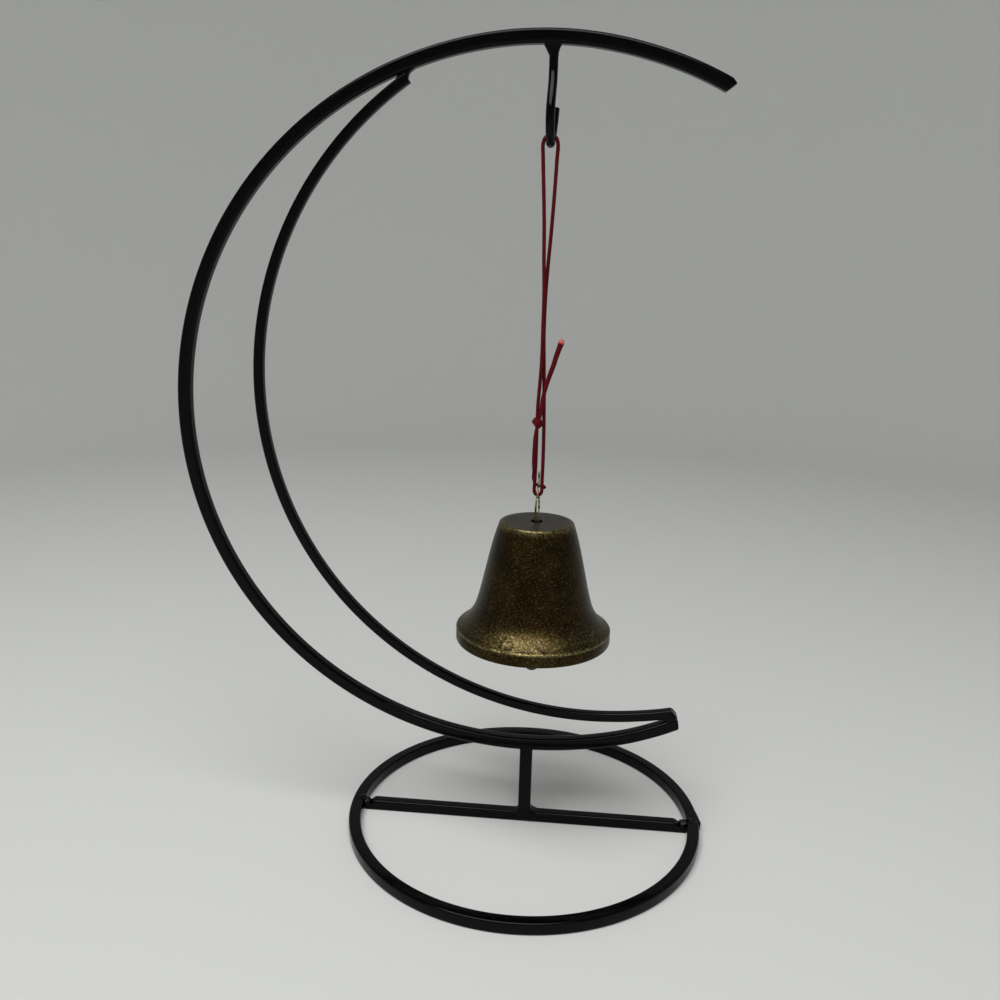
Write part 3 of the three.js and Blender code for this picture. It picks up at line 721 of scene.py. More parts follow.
@dataclass
class HangingCord:
    """One length of braided cord: a loop over the hook and round the wire, a knot and two ends."""

    diameter: float = 1.4
    braid_mm: float = 1.8
    step: float = 0.16
    knot_centre: Point = (0.25, -0.8, 168.4)
    knot_radius: float = 1.3
    knot_half_height: float = 1.3
    knot_half_turns: Pair = (-0.9, 4.6)
    knot_rows: int = 190
    knot_lean: float = 33.0
    knot_core: Point = (1.5, 1.1, 1.9)
    knot_stems: tuple[tuple[Point, ...], ...] = (
        ((0.1, -0.8, 168.6), (0.02, -0.8, 170.2), (0.02, -0.8, 171.4)),
        ((0.2, -0.9, 168.2), (0.02, -0.8, 167.2), (-0.02, -0.78, 165.8)))
    filaments: int = 7
    filament_radii: Pair = (0.11, 0.04)
    # From one filament to the next, in turns.
    filament_turn: float = 0.382
    # How much the upper end opens: evenly along it, and more over the last part of it.
    flares: Pair = (0.5, 0.1)
    flare_tip: float = 0.14
    # The lower end is thinner below this height, by this share, which it reaches over so many millimetres.
    pressed_below: float = 151.5
    pressed_share: float = 0.28
    pressed_over: float = 2.5
    loop_route: tuple[Point, ...] = (
        (0.02, -0.8, 171.1), (0.1, -0.85, 175.7), (0.45, -0.9, 182), (0.8, -0.9, 189), (0.93, -0.9, 196),
        (0.9, -0.9, 203), (0.85, -0.9, 216), (0.35, -0.7, 228), (-0.05, -0.5, 241), (-0.75, -0.2, 254),
        (-1.25, 0, 263), (-1.4, 0, 267.8), (-0.64, 0, 269.64), (1.2, 0, 270.4), (3.04, 0, 269.64),
        (3.8, 0, 267.8), (3.65, 0.1, 262), (3.2, 0.3, 250), (2.55, 0.6, 237), (1.8, 0.85, 225),
        (1.38, 0.9, 216), (1.25, 0.9, 203), (1.45, 0.9, 196), (1.75, 0.9, 189), (2.2, 0.9, 177),
        (2.55, 0.85, 165.5), (2.7, 0.4, 154), (2.65, 0.1, 146), (2.6, 0, 141.6), (2.19, 0, 140.61),
        (1.2, 0, 140.2), (0.21, 0, 140.61), (-0.2, 0, 141.6), (-0.12, -0.05, 146), (0, -0.3, 153.4),
        (-0.03, -0.6, 160), (-0.02, -0.8, 166.1))
    up_route: tuple[Point, ...] = (
        (0.6, -1.7, 169.4), (1.15, -1.95, 171.6), (1.5, -1.85, 174), (1.8, -1.7, 177.1), (2.65, -1.6, 181.4),
        (4.2, -1.6, 186.7), (5.4, -1.55, 190.3), (6.2, -1.5, 193.3), (7.7, -1.5, 197.9))
    down_route: tuple[Point, ...] = (
        (0.1, -2.1, 166.6), (-0.4, -2.05, 163.5), (-0.65, -1.8, 160), (-0.75, -1.55, 156),
        (-0.75, -1.4, 153), (-0.62, -1.2, 150.6), (-0.8, -0.5, 148.2), (-0.82, 0.4, 146.5),
        (-0.4, 1.3, 144.9), (0.6, 1.85, 143.7), (2.2, 2.0, 143.1), (3.5, 1.9, 142.9))

    def braided(self, route: np.ndarray, reference: Point, swell: np.ndarray | float = 1.0,
                columns: int = 24) -> Surface:
        """Carry a round section along a route, with its surface lifted where strands cross.

        The radius is the cord's own times 0.985 + 0.035 sin(4a + kz) sin(4a - kz), where a goes round
        and z along.

        Args:
            route: Centreline points.
            reference: A direction that the route never follows.
            swell: Share of the diameter, one number or one for each row.
            columns: Points round the cord.

        Returns:
            The cord's surface, with braid repeats in its UV map.
        """
        grid = rounded_rod(route, self.diameter / 2 * swell, reference, columns, dome=0.35)
        step = np.linalg.norm(np.diff(route, axis=0), axis=1).mean()
        turn = 2 * np.pi * step / self.braid_mm
        row = np.arange(grid.shape[0])[:, None]
        around = 2 * np.pi * np.arange(columns)[None, :] / columns
        lift = np.sin(4 * around + turn * row) * np.sin(4 * around - turn * row)
        middle = grid.mean(1, keepdims=True)
        grid = middle + (grid - middle) * (0.985 + 0.035 * lift[..., None])
        return Surface(grid, uv_scale=(1.0, step / self.braid_mm))

    def knot_surfaces(self) -> list[Surface]:
        """Wind the knot: three turns that fall to the right, over a core, with both strands running in.

        The winding is a helix whose radius draws in at both ends: (r cos a, r sin a, p a).

        Returns:
            The winding, its core and the two stems.
        """
        first, last = self.knot_half_turns
        angle = np.linspace(first * np.pi, last * np.pi, self.knot_rows)
        share = np.linspace(-1, 1, self.knot_rows)
        radius = self.knot_radius * (1 - 0.45 * np.abs(share) ** 5)
        local = np.stack([1.2 * radius * np.cos(angle), radius * np.sin(angle),
                          -self.knot_half_height * share], -1)
        spin = about_y(self.knot_lean)
        route = local @ spin.T + np.asarray(self.knot_centre)
        winding = self.braided(route, tuple(spin @ np.array([0.05, 0.02, 1.0])), swell=0.95)
        stems = [self.braided(smooth_route(list(stem), self.step), (0, 1, 0)) for stem in self.knot_stems]
        return [winding, blob(self.knot_centre, self.knot_core, turn=20), *stems]

    def frayed(self, tip: np.ndarray, ahead: np.ndarray) -> list[Surface]:
        """Stand a few stray filaments on the sealed end.

        Args:
            tip: The end's centre.
            ahead: The cord's direction there.

        Returns:
            One thin tapering rod for each filament.
        """
        found = []
        for number in range(self.filaments):
            spread = 2 * math.pi * number * self.filament_turn
            side = np.array([math.cos(spread), math.sin(spread), 0.25])
            reach = 0.9 + 0.5 * math.sin(number * 2.1)
            route = np.stack([tip + side * 0.35, tip + side * 0.6 + ahead * reach * 0.5,
                              tip + side * (0.7 + 0.2 * math.cos(number)) + ahead * reach])
            fine = smooth_route([tuple(p) for p in route], 0.12)
            taper = np.linspace(*self.filament_radii, len(fine))
            found.append(Surface(rounded_rod(fine, taper, (0.3, 1.0, 0.1), 8)))
        return found

    def build(self, cord: Material, melted: Material) -> None:
        """Args:
            cord: The braid's finish.
            melted: The sealed ends' finish.
        """
        def piece(name: str, surfaces: list[Surface], finish: Material, *nodes: str) -> Object:
            """Make one piece of the cord."""
            return make_piece(name, surfaces, finish, Body.CORD, nodes)

        route = smooth_route(list(self.loop_route), self.step)
        loop = piece("cord_over_hook", [self.braided(route, (0, 1, 0))], cord, "cord_loop")
        knot = piece("cord_double_knot", self.knot_surfaces(), cord, "cord_knot")
        up = smooth_route(list(self.up_route), self.step)
        share = np.linspace(0, 1, len(up))
        even, late = self.flares
        near_tip = np.clip((share - (1 - self.flare_tip)) / self.flare_tip, 0, 1)
        flare = 1.0 + even * share + late * near_tip ** 2
        riser = piece("cord_end_up", [self.braided(up, (0, 1, 0), flare)], cord, "cord_tail_up")
        ahead = unit(up[-1] - up[-4])
        drop = blob(tuple(up[-1] + ahead * 0.5), (1.2, 0.95, 1.05), ripple=0.2, turn=38)
        seal = piece("cord_end_up_seal", [drop, *self.frayed(up[-1] + ahead * 1.0, ahead)], melted)
        down = smooth_route(list(self.down_route), self.step)
        below = np.clip((self.pressed_below - down[:, 2]) / self.pressed_over, 0, 1)
        pressed = 1 - self.pressed_share * below
        trailer = piece("cord_end_down", [self.braided(down, (-1, 1, 1), pressed)], cord, "cord_tail_down")
        nub = blob(tuple(down[-1]), (0.68, 0.74, 0.78), ripple=0.15)
        bead = piece("cord_end_down_nub", [nub], cord)


@dataclass
class Ellipse:
    """A crescent arc's centreline in the plane of the stand.

    The drift gives angles and how far outwards the bent bar strays from the ellipse at each.
    """

    x: float
    z: float
    half_width: float
    half_height: float
    drift: tuple[tuple[float, ...], tuple[float, ...]] = ((0.0, 360.0), (0.0, 0.0))

    def lines(self, degrees: np.ndarray | float, out: np.ndarray | float = 0.0,
              across: np.ndarray | float = 0.0) -> np.ndarray:
        """Give points beside the centreline: centre + (a cos t, 0, c sin t) + out * normal + across * Y.

        The normal is (c cos t, 0, a sin t) scaled to one, with a and c the half width and half height.

        Args:
            degrees: Angles from +X towards +Z.
            out: Distance outside the centreline.
            across: Distance along Y.

        Returns:
            Points, with the arguments' common shape and a last axis of three.
        """
        degrees, out, across = np.broadcast_arrays(degrees, out, across)
        out = out + np.interp(degrees, *self.drift)
        cos, sin = np.cos(np.radians(degrees)), np.sin(np.radians(degrees))
        tilt = np.hypot(self.half_height * cos, self.half_width * sin)
        x = self.x + self.half_width * cos + out * self.half_height * cos / tilt
        z = self.z + self.half_height * sin + out * self.half_width * sin / tilt
        return np.stack([x, across, z], -1)


@dataclass(frozen=True)
class WeldPad:
    """A cushion of weld metal: its outline in the stand's plane as x and z, and its half thickness."""

    name: str
    node: str
    middle: Pair
    depth: float
    outline: tuple[Pair, ...]
    y: float = 0.0


@dataclass
class CrescentStand:
    """The welded stand: ring, bar across it, post, two arcs, hook and the weld metal that joins them."""

    section_points: int = 40
    ring_radius: float = 70.0
    ring_side: float = 4.8
    ring_corner: float = 0.75
    seam_depth: float = 0.22
    wedge: float = 1.5
    wedge_degrees: float = 7.0
    bar_side: float = 4.4
    bar_corner: float = 0.7
    bar_gap: float = 0.3
    pinch_zone: float = 10.0
    # Where the pinch starts, how far it runs and how deep it is, at the left end and at the right one.
    pinches: tuple[Point, Point] = ((62.9, 2.2, 1.5), (62.0, 2.8, 1.2))
    post_half: float = 2.55
    post_depth: float = 2.46
    post_x: float = 0.3
    # Width and height of its welds' quarter circles: left foot, left head, right foot, right head.
    post_fillets: tuple[Pair, ...] = ((1.0, 1.9), (0.9, 1.3), (2.6, 2.6), (0.9, 1.5))
    post_top: float = 34.4
    arc_underside: float = 33.6
    outer_side: float = 5.0
    outer_corner: float = 1.2
    inner_side: float = 3.8
    inner_corner: float = 0.85
    rod: float = 3.2
    hook_x: float = 1.25
    tip_degrees: float = 61.9
    tip_ridge: float = 1.3
    # How far each sheared plane of the tip falls back, over what height: above the ridge and below it.
    tip_falls: tuple[Pair, ...] = ((2.3, 1.2), (1.8, 3.8))
    head_degrees: float = 124.6
    foot_x: float = 61.1
    # Above each height the lower end bends back by this rate times the height's square.
    foot_bends: tuple[Pair, ...] = ((47.5, 0.05), (52.0, 0.2))
    flare_top: float = 300.6
    flare_height: float = 4.3
    flare_skin: float = 0.03
    # How far the hook's weld reaches out at its top: to the left, to the right, to the front and back.
    flare_reach: Point = (2.35, 1.6, 0.85)
    outer: Ellipse = field(default_factory=lambda: Ellipse(-0.7, 168.9, 136.3, 133.6, (
        (60.0, 75.0, 86.0, 95.0, 272.0, 280.0, 288.0, 294.0, 300.0),
        (-0.25, -0.32, -0.08, 0.0, 0.0, 0.22, 0.68, 0.75, 0.7))))
    inner: Ellipse = field(default_factory=lambda: Ellipse(25.7, 180.5, 133.0, 131.4, (
        (274.0, 278.0, 282.0, 285.0, 290.0), (0.0, 0.12, 0.35, 0.55, 0.6))))
    hook_points: tuple[Point, ...] = (
        (1.25, 0.0, 301.5), (1.25, 0.0, 295.2), (1.25, 0.0, 291.2), (1.25, -1.8, 286.8),
        (1.1, -4.92, 281.4), (1.0, -6.0, 276.4), (1.1, -4.44, 270.7), (1.2, 0.0, 267.8),
        (1.33, 4.35, 270.0), (1.68, 6.3, 274.4), (2.1, 6.8, 280.2))
    webs: tuple[WeldPad, WeldPad] = (
        WeldPad("web_upper", "weld_inner_head", (-51.0, 289.6), 1.8, (
            (-54.2, 288.1), (-52.4, 290.4), (-48.6, 292.6), (-47.0, 293.0), (-47.1, 291.9), (-47.9, 291.25),
            (-48.8, 290.5), (-49.3, 289.6), (-49.5, 288.5), (-49.45, 287.6), (-49.9, 286.4), (-52.0, 286.6))),
        WeldPad("web_lower", "weld_inner_foot", (57.9, 51.2), 2.25, (
            (54.9, 49.8), (55.2, 51.2), (56.0, 53.0), (57.2, 53.9), (58.2, 53.5), (59.5, 52.2), (60.4, 50.6),
            (60.8, 48.4), (59.4, 46.9), (56.9, 47.7), (55.4, 48.8))))
    apron: WeldPad = WeldPad("post_foot_weld", "weld_post_foot", (1.8, 2.8), 0.55, (
        (-2.6, 3.9), (-1.0, 4.6), (2.8, 4.7), (4.7, 4.2), (6.0, 3.1), (7.0, 1.8), (5.2, 1.1), (2.8, 0.8),
        (0.4, 0.9), (-1.5, 2.0)), y=-2.1)
    # Each bead's name and node, then its lumps: centre, half widths, ripple and turn.
    beads: tuple[tuple[str, str, tuple[tuple[Point, Point, float, float], ...]], ...] = (
        ("bead_left", "weld_bar_left", (
            ((-68.2, -0.6, 3.9), (2.1, 1.9, 1.75), 0.2, -12),
            ((-66.2, -1.0, 3.4), (1.75, 1.7, 1.6), 0.18, 20), ((-69.6, 0.9, 3.9), (2.0, 1.3, 1.15), 0.1, 0))),
        ("bead_right", "weld_bar_right", (
            ((66.5, -0.7, 3.7), (2.3, 1.8, 1.6), 0.2, 14),
            ((68.3, 0.2, 4.0), (1.8, 1.7, 1.4), 0.16, -25), ((69.7, 0.2, 4.0), (1.6, 1.2, 1.0), 0.1, 0))))

    def ring(self) -> Surface:
        """Turn the ring's soft square section round: radius R + s, height half a side + t.

        Where the bar's two ends were butted, at no degrees, the top has a seam a few tenths deep, and the
        outer side of one end stands out by a wedge that grows over seven degrees.
        """
        half = self.ring_side / 2
        section = soft_square(self.section_points, self.ring_corner / half) * half
        degrees = np.concatenate([np.linspace(-1.2, 1.2, 61), np.linspace(1.2, 9.0, 40)[1:],
                                  np.linspace(9.0, 358.8, 350)[1:-1]])[:, None]
        rise = np.clip((degrees + 0.25) / 0.15, 0, 1) * np.clip(1 - degrees / self.wedge_degrees, 0, 1)
        outer = np.clip(section[:, 0] / half, 0, 1) * np.clip((section[:, 1] + 2.1) / 0.8, 0, 1)
        radius = self.ring_radius + section[:, 0]
        radius = radius + self.wedge * rise * outer * (0.8 - 0.2 * section[:, 1] / half)
        upper = np.clip(section[:, 1] / half, 0, 1) ** 4
        height = section[:, 1] + half - self.seam_depth * np.exp(-((degrees + 0.3) / 0.16) ** 2) * upper
        turn = np.radians(degrees)
        return Surface(np.stack([radius * np.cos(turn), radius * np.sin(turn), height], -1), looped=True)

    def cross_bar(self) -> Surface:
        """Draw the bar across the ring; near each end its pinched top sinks by a smooth step."""
        reach = self.ring_radius - self.ring_side / 2 - self.bar_gap
        inner = reach - self.pinch_zone
        x = np.concatenate([np.linspace(-reach, -inner, 50), np.linspace(-inner, inner, 60)[1:-1],
                            np.linspace(inner, reach, 50)])
        half = self.bar_side / 2
        section = soft_square(self.section_points, self.bar_corner / half) * half
        (left_start, left_run, left_sink), (right_start, right_run, right_sink) = self.pinches
        near = np.maximum((-x - left_start) / left_run, (x - right_start) / right_run)
        near = np.clip(near, 0, 1)[:, None]
        sink = np.where(x < 0, left_sink, right_sink)[:, None] * near ** 2 * (3 - 2 * near)
        top = section[:, 1] + half
        height = top - sink * np.clip(top / self.bar_side, 0, 1)
        grid = np.stack(np.broadcast_arrays(x[:, None], section[:, 0], height), -1)
        return Surface(seamed(grid))

    def post(self) -> Surface:
        """Stand the post up: a soft square that widens by a quarter circle at each weld.

        Each of the four quarter circles has its own width and height, because the beads differ.
        """
        z = np.linspace(self.bar_side - 0.6, self.post_top, 120)

        def fillet(from_weld: np.ndarray, width: float, height: float) -> np.ndarray:
            """Give a concave quarter circle's width by distance from the weld."""
            share = np.clip(1 - from_weld / height, 0, 1)
            return width * (1 - np.sqrt(1 - share ** 2))

        low, high = z - self.bar_side, self.arc_underside - z
        left_foot, left_head, right_foot, right_head = self.post_fillets
        left = self.post_half + fillet(low, *left_foot) + fillet(high, *left_head)
        right = self.post_half + fillet(low, *right_foot) + fillet(high, *right_head)
        depth = self.post_depth + 0.1 * (left - self.post_half)
        return upright(z, left, right, depth, self.post_x, soft_square(self.section_points, 0.28))

    def arc(self, path: Ellipse, side: float, corner: float, ends: tuple,
            line: Pair | None = None) -> Surface:
        """Carry a soft square along an arc; each long line runs on until it meets the end's cut.

        Args:
            path: The centreline.
            side: The bar's side.
            corner: Its corner radius.
            ends: For each end, an angle inside it, one beyond it, and a function of points that turns
                positive beyond the cut.
            line: The closing line's x and z at the first end, or None.

        Returns:
            The closed bar.
        """
        section = soft_square(self.section_points, corner * 2 / side) * side / 2
        reach = []
        for inside, beyond, past in ends:
            search = np.linspace(inside, beyond, 900)
            cut = past(path.lines(search[:, None], section[:, 0], section[:, 1])) > 0
            reach.append(search[np.argmax(cut, axis=0)])
        degrees = reach[0] + np.linspace(0, 1, 420)[:, None] * (reach[1] - reach[0])
        return Surface(seamed(path.lines(degrees, section[:, 0], section[:, 1]), (line, None)))

    def tip_frame(self) -> tuple[np.ndarray, np.ndarray, np.ndarray]:
        """Give the upper tip's ridge point and the directions outwards and ahead there."""
        centre = self.outer.lines(self.tip_degrees)
        outward = self.outer.lines(self.tip_degrees, 1.0) - centre
        return centre + outward * self.tip_ridge, outward, np.array([outward[2], 0.0, -outward[0]])

    def past_tip(self, points: np.ndarray) -> np.ndarray:
        """Say how far points lie beyond the two planes that the shears left at the tip."""
        ridge, outward, ahead = self.tip_frame()
        out, past = (points - ridge) @ outward, (points - ridge) @ ahead
        (high_fall, high), (low_fall, low) = self.tip_falls
        return past - np.where(out > 0, -out * high_fall / high, out * low_fall / low)

    def past_foot(self, points: np.ndarray) -> np.ndarray:
        """Say how far points lie beyond the lower end, which bends back by the square of the height."""
        back = sum(rate * np.clip(points[..., 2] - start, 0, None) ** 2 for start, rate in self.foot_bends)
        return points[..., 0] - self.foot_x + back

    def past_head(self, points: np.ndarray) -> np.ndarray:
        """Say how far points lie beyond the inner bar's upper end, cut square."""
        centre = self.inner.lines(self.head_degrees)
        outward = self.inner.lines(self.head_degrees, 1.0) - centre
        return (points - centre) @ np.array([outward[2], 0.0, -outward[0]])

    def hook_flare(self) -> Surface:
        """Flow weld metal from the arc to the hook: straight on the left, hollow on the right.

        At share t of the height the left reach falls evenly and the right one as (1 - t) squared.
        """
        share = np.linspace(0, 1, 20)
        skin = self.rod / 2 + self.flare_skin
        left_reach, right_reach, depth_reach = self.flare_reach
        left = skin + left_reach * (1 - share)
        right = skin + right_reach * (1 - share) ** 2
        depth = skin + depth_reach * (1 - share) ** 2
        z = self.flare_top - self.flare_height * share
        return upright(z, left, right, depth, self.hook_x, circle(self.section_points), bevel=0.05)

    def build(self, enamel: Material) -> None:
        """Make every piece of the stand in the given finish."""
        def steel(name: str, surfaces: list[Surface], *nodes: str) -> None:
            """Make one enamelled piece."""
            make_piece(name, surfaces, enamel, Body.STAND, nodes)

        ridge = tuple(self.tip_frame()[0][[0, 2]])
        steel("ring_of_square_bar", [self.ring()], "base_ring", "weld_ring_butt")
        steel("bar_across_ring", [self.cross_bar()], "cross_bar")
        steel("short_post", [self.post()], "post", "weld_post_head")
        steel("crescent_outer_bar", [self.arc(self.outer, self.outer_side, self.outer_corner, (
            (66.0, 58.0, self.past_tip), (292.0, 300.0, self.past_foot)), ridge)], "outer_arc")
        steel("crescent_inner_bar", [self.arc(self.inner, self.inner_side, self.inner_corner, (
            (127.0, 120.0, self.past_head), (280.0, 288.0, self.past_foot)))], "inner_arc")
        hook = smooth_route(list(self.hook_points), 0.35)
        steel("hook_bent_rod", [Surface(rounded_rod(hook, self.rod / 2, (1, 0, 0), 32, dome=0.3))], "hook")
        steel("hook_weld_flare", [self.hook_flare()], "weld_hook")
        for web in self.webs:
            steel(web.name, [pad(web.outline, web.middle, web.depth, web.y)], web.node)
        for name, node, lumps in self.beads:
            steel(name, [blob(*lump) for lump in lumps], node)
        apron = self.apron
        steel(apron.name, [pad(apron.outline, apron.middle, apron.depth, apron.y)], apron.node)


@dataclass
class WireHanger:
    """The bent wire that the bell hangs on, with its cut end standing up between the strands."""

    wire: float = 0.8
    axis_x: float = 1.2
    eye_z: float = 140.2
    bend: float = 1.4
    crown_z: float = 129.7
    crown_under_z: float = 128.3
    loop_z: float = 125.7
    loop_radius: float = 2.5
    leg_spread: float = 0.58
    # The cut end's points from the top of the eye.
    stub: tuple[Point, ...] = ((-0.05, 0.0, -0.1), (0.1, -0.08, 2.4), (0.25, 0.02, 5.0), (0.2, 0.05, 7.9))

    def route(self) -> np.ndarray:
        """Follow the wire: round the lower loop, up one leg, over the cord and down the other."""
        turn = np.radians([38, 10, -20, -55, -90, -125, -160, -190, -220, -248])
        loop = [(self.axis_x + self.loop_radius * math.cos(a), 0.0,
                 self.loop_z + self.loop_radius * math.sin(a)) for a in turn]
        arch = [(self.axis_x, self.bend * math.cos(a), self.eye_z + self.bend * math.sin(a))
                for a in np.radians([180, 135, 90, 45, 0])]
        middle = self.crown_under_z + 0.5 * (self.crown_z - self.crown_under_z)
        legs = [(1.0, 0.0, middle), (1.0, 0.15, self.crown_z + 2.6), (1.0, 0.9, self.eye_z - 3.9),
                (0.6, self.bend, self.eye_z - 1.2)]
        rising = [(self.axis_x - self.leg_spread * s, -y, z) for s, y, z in legs]
        falling = [(self.axis_x + self.leg_spread * s, y, z) for s, y, z in reversed(legs)]
        close = math.radians(60)
        last = (self.axis_x + self.loop_radius * math.cos(close), 0.0,
                self.loop_z + self.loop_radius * math.sin(close))
        return smooth_route([*loop, *rising, *arch, *falling, last], 0.1)

    def build(self, metal: Material) -> None:
        """Make the bent wire and its cut end in the given finish."""
        wire = Surface(rounded_rod(self.route(), self.wire / 2, (0.94, 0.3, 0.16), 16, dome=0.3))
        top = self.eye_z + self.bend
        stub = smooth_route([(self.axis_x + x, y, top + z) for x, y, z in self.stub], 0.12)
        cut = Surface(rounded_rod(stub, self.wire / 2, (0, 1, 0), 16, dome=0.35))
        make_piece("hanger_bent_wire", [wire, cut], metal, Body.HANGER, ("hanger_wire",))


@dataclass
class BellShell:
    """The turned bell: flat crown, sloping waist, flared skirt and an upright lip."""

    axis_x: float = 1.2
    crown_z: float = 129.7
    height: float = 48.2
    crown_radius: float = 14.7
    crown_corner: float = 1.3
    hole: float = 2.35
    waist_radius: float = 22.5
    waist_height: float = 16.0
    lip_radius: float = 30.6
    lip_band: float = 4.6
    wall: float = 1.4
    hole_corner: float = 0.35
    lip_top_corner: float = 0.5
    lip_foot_corner: float = 0.8
    # Points that pull the waist's and the skirt's curves: radius and height over the foot.
    waist_pulls: tuple[Pair, ...] = ((18.2, 37.1), (20.1, 24.0))
    skirt_pull: Pair = (24.4, 9.0)
    # The groove under the lip's top: how far in from the lip's radius and down from its own start.
    groove_drop: float = 0.35
    groove: tuple[Pair, ...] = ((0.32, 0.0), (0.34, 0.25), (0.1, 0.7))
    # A ring-shaped blister in the film, and a low ridge beside it: places, heights and widths.
    blister: Point = (-6.5, -27.6, 89.2)
    blister_ring: Point = (0.3, 2.6, 0.8)
    ridge: tuple[Point, Point] = ((1.6, -26.3, 88.9), (6.3, -29.6, 86.9))
    ridge_size: Pair = (0.22, 0.9)
    # How much film is worn off by rubbing, which also lays a painted highlight there,
    # and how far from the place it reaches.
    crown_rub_highlight: Pair = (0.8, 1.6)
    lip_rub_highlight: Pair = (1.3, 0.5)
    skirt_rub_highlight: Pair = (0.35, 4.8)
    skirt_middle: Pair = (27.5, 89.0)
    columns: int = 312

    def outside(self) -> np.ndarray:
        """Draw the outer profile from the crown's hole to the foot of the lip.

        The waist is a cubic Bezier curve and the skirt a quadratic one with the same slope where they
        meet; the crown's edge and the lip's edges are quarter circles.

        Returns:
            Radius and height pairs.
        """
        def curve(points: list[Pair], n: int) -> np.ndarray:
            """Give n points on the Bezier curve with these control points."""
            t = np.linspace(0, 1, n)[:, None]
            order = len(points) - 1
            return sum(math.comb(order, k) * (1 - t) ** (order - k) * t ** k * np.array(p)
                       for k, p in enumerate(points))

        def corner(centre: Pair, radius: float, start: float, end: float, n: int) -> np.ndarray:
            """Give n points on an arc between two angles in degrees."""
            a = np.radians(np.linspace(start, end, n))
            return np.stack([centre[0] + radius * np.cos(a), centre[1] + radius * np.sin(a)], -1)

        foot = self.crown_z - self.height
        flat = np.linspace(self.hole + self.hole_corner, self.crown_radius - self.crown_corner, 26)
        crown = np.stack([flat, np.full_like(flat, self.crown_z)], -1)
        eased = corner((self.hole + self.hole_corner, self.crown_z - self.hole_corner),
                       self.hole_corner, 180, 90, 6)
        edge = corner((self.crown_radius - self.crown_corner, self.crown_z - self.crown_corner),
                      self.crown_corner, 90, 10, 12)
        waist = (self.waist_radius, foot + self.waist_height)
        side = curve([tuple(edge[-1]), *((r, foot + z) for r, z in self.waist_pulls), waist], 60)
        skirt = curve([waist, (self.skirt_pull[0], foot + self.skirt_pull[1]),
                       (self.lip_radius - 0.4, foot + self.lip_band + 0.8)], 44)
        lip_top = corner((self.lip_radius - self.lip_top_corner, foot + self.lip_band + 0.15),
                         self.lip_top_corner, 68, 0, 7)
        lip_foot = corner((self.lip_radius - self.lip_foot_corner, foot + self.lip_foot_corner),
                          self.lip_foot_corner, 0, -90, 9)
        groove_z = foot + self.lip_band - self.groove_drop
        groove = np.array([[self.lip_radius - inward, groove_z - down] for inward, down in self.groove])
        return np.concatenate([eased[:-1], crown, edge[1:], side[1:], skirt[1:], lip_top, groove, lip_foot])

    def surface(self) -> Surface:
        """Turn the wall: the outer profile, then the same profile moved in by the wall, closed on itself."""
        outer = self.outside()
        slope = unit(np.gradient(outer, axis=0))
        inner = outer + np.stack([slope[:, 1], -slope[:, 0]], -1) * self.wall
        inner = inner[(inner[:, 0] > self.hole + 0.3) & (inner[:, 1] > self.crown_z - self.height + 0.5)
                      & (inner[:, 1] < self.crown_z - self.wall + 0.01)]
        keep = np.concatenate([[True], np.diff(inner[:, 1]) < 0.02])
        inner = inner[keep]
        foot = self.crown_z - self.height
        mouth = np.array([[self.lip_radius - self.wall + 0.1, foot]])
        hole = np.array([[self.hole, self.crown_z - self.wall]])
        profile = np.concatenate([outer, mouth, inner[::-1], hole])
        grid = revolved(profile, (self.axis_x, 0.0), self.columns)
        away = np.linalg.norm(grid - np.asarray(self.blister), axis=-1)
        height, radius, width = self.blister_ring
        dome = height * np.exp(-((away - radius) / width) ** 2)
        start, end = (np.asarray(p) for p in self.ridge)
        along = np.clip((grid - start) @ (end - start) / ((end - start) @ (end - start)), 0, 1)[..., None]
        height, width = self.ridge_size
        dome += height * np.exp(-(np.linalg.norm(grid - start - along * (end - start), axis=-1) / width) ** 2)
        dome[len(outer):] = 0
        outward = unit(grid - np.array([self.axis_x, 0.0, 70.0]))
        grid = grid + outward * dome[..., None]
        return Surface(grid, looped=True, attributes={"rubbed": self.rubbed(profile, dome, len(outer))})

    def rubbed(self, profile: np.ndarray, dome: np.ndarray, outer_rows: int) -> np.ndarray:
        """Say how far the film is worn back, with a painted highlight on the same places: most on the
        crown's edge and on the lip's upper edge.

        Each edge adds a bell curve of the distance to it, and the skirt's top adds a broad one. Half the
        blister's and the ridge's height is added on top, as a painted highlight on them.

        Args:
            profile: Radius and height pairs.
            dome: The blister's height at each point.
            outer_rows: How many rows are outside.

        Returns:
            A share for each point of the grid.
        """
        foot = self.crown_z - self.height
        places = ((self.crown_radius - 0.5, self.crown_z - 0.5, *self.crown_rub_highlight),
                  (self.lip_radius, foot + (self.lip_band + 0.4), *self.lip_rub_highlight),
                  (*self.skirt_middle, *self.skirt_rub_highlight))
        value = sum(strength * np.exp(-(np.hypot(profile[:, 0] - radius, profile[:, 1] - z) / reach) ** 2)
                    for radius, z, strength, reach in places)
        value[outer_rows:] = 0.0
        value = np.repeat(value[:, None], self.columns, 1)
        # Painted highlight: the blister's ring and the ridge grow brighter by half their height.
        return value + 0.5 * dome

    def build(self, patina: Material) -> None:
        """Make the shell in the given finish."""
        make_piece("bell_turned_shell", [self.surface()], patina, Body.BELL,
                   ("bell_shell",), crease=60)


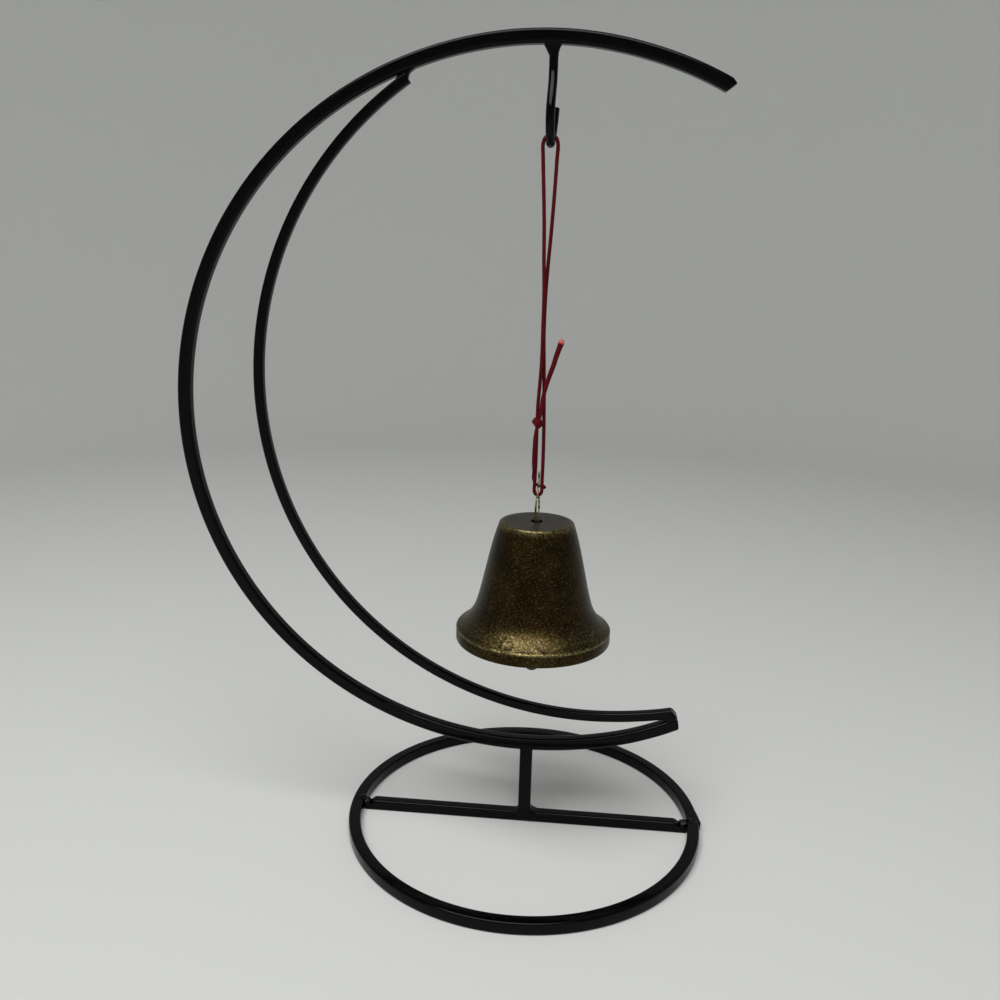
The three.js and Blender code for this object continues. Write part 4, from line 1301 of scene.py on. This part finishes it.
@dataclass
class Clapper:
    """A wire with an eye at its head and a steel ball at its foot."""

    axis_x: float = 1.2
    pivot_z: float = 123.2
    length: float = 52.4
    wire: float = 0.8
    eye: float = 1.1
    ball: float = 3.2

    def build(self, metal: Material, steel: Material) -> None:
        """Make the wire in the first finish and the ball in the second."""
        turn = np.radians([-42, -10, 25, 60, 95, 130, 165, 200, 235])
        eye = [(0.0, self.eye * math.cos(a), self.eye * math.sin(a)) for a in turn]
        shank = [(0.0, 0.0, -2 * self.eye), (0.0, 0.0, -5 * self.eye), (0.0, 0.0, -0.5 * self.length),
                 (0.0, 0.0, 1.3 - self.length)]
        route = smooth_route([*eye, *shank], 0.12) + np.array([self.axis_x, 0.0, self.pivot_z])
        wire = Surface(rounded_rod(route, self.wire / 2, (1, 0, 0), 16, dome=0.2))
        make_piece("clapper_drawn_wire", [wire], metal, Body.CLAPPER, ("clapper_wire",))
        angle = np.radians(np.linspace(-90, 82, 60))
        ring = np.stack([self.ball * np.cos(angle), self.ball * np.sin(angle)], -1)
        hole = np.array([[0.62, self.ball - 0.15], [0.6, 1.0], [0.0, 1.0]])
        profile = np.concatenate([ring, hole]) + np.array([0.0, self.pivot_z - self.length])
        ball = Surface(revolved(profile, (self.axis_x, 0.0), 64))
        make_piece("clapper_steel_ball", [ball], steel, Body.CLAPPER, ("clapper_ball",))


@dataclass
class Studio:
    """A round tent of pale card whose floor curves up into a wall, one soft lamp and a dim room above."""

    radius: float = 1300.0
    cove: float = 450.0
    wall: float = 1500.0
    lamp_place: Point = (-120.0, -400.0, 1000.0)
    lamp_aim: Point = (0.0, 0.0, 120.0)
    lamp_size: Pair = (900.0, 700.0)
    lamp_watts: float = 11.0
    room: str = "#b4b6b6"
    room_strength: float = 0.4

    def tent(self) -> None:
        """Turn the card's profile round the stand: level floor, a quarter circle, then upright."""
        turn = np.radians(np.linspace(0, 90, 32))
        flat = self.radius - self.cove
        level = np.linspace(0, flat, 12)[:-1]
        radius = np.concatenate([level, flat + self.cove * np.sin(turn), [self.radius]])
        height = np.concatenate([np.zeros_like(level), self.cove - self.cove * np.cos(turn), [self.wall]])
        card = Surface(revolved(np.stack([radius, height], -1), (0.0, 0.0), 96))
        mesh = bpy.data.meshes.new("card_tent")
        mesh.from_pydata((card.points.reshape(-1, 3) * MM).tolist(), [], card.faces()[:, ::-1].tolist())
        work = bmesh.new()
        work.from_mesh(mesh)
        bmesh.ops.remove_doubles(work, verts=work.verts, dist=0.01 * MM)
        work.to_mesh(mesh)
        work.free()
        mesh.shade_smooth()
        mesh.materials.append(MattCard().material())
        tent = bpy.data.objects.new("card_tent", mesh)
        bpy.context.scene.collection.objects.link(tent)

    def lamp(self) -> None:
        """Hang the soft lamp and face it towards the bell."""
        data = bpy.data.lights.new("lamp_above", "AREA")
        data.shape = "RECTANGLE"
        data.size, data.size_y = self.lamp_size[0] * MM, self.lamp_size[1] * MM
        data.energy = self.lamp_watts
        lamp = bpy.data.objects.new("lamp_above", data)
        lamp.location = Vector(self.lamp_place) * MM
        lamp.rotation_mode = "QUATERNION"
        lamp.rotation_quaternion = (Vector(self.lamp_aim) * MM - lamp.location).to_track_quat("-Z", "Y")
        bpy.context.scene.collection.objects.link(lamp)

    def build(self) -> None:
        """Make the tent, the lamp and the dim room."""
        self.tent()
        self.lamp()
        world = bpy.data.worlds.new("dim_room")
        world.use_nodes = True
        world.node_tree.nodes["Background"].inputs["Color"].default_value = linear(self.room)
        world.node_tree.nodes["Background"].inputs["Strength"].default_value = self.room_strength
        bpy.context.scene.world = world
        bpy.context.scene.view_settings.view_transform = "Standard"


def main() -> None:
    """Build the camera, the cord, the stand, the bell and the studio."""
    logging.basicConfig(level=logging.INFO, format="%(message)s")
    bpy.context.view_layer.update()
    PhotoCamera().build()
    HangingCord().build(BraidedNylon().material(), MeltedNylon().material())
    CrescentStand().build(GlossEnamel().material())
    wire = DrawnWire().material()
    WireHanger().build(wire)
    BellShell().build(AntiquedBrass().material())
    Clapper().build(wire, TumbledSteel().material())
    Studio().build()


if __name__ == "__main__":
    main()
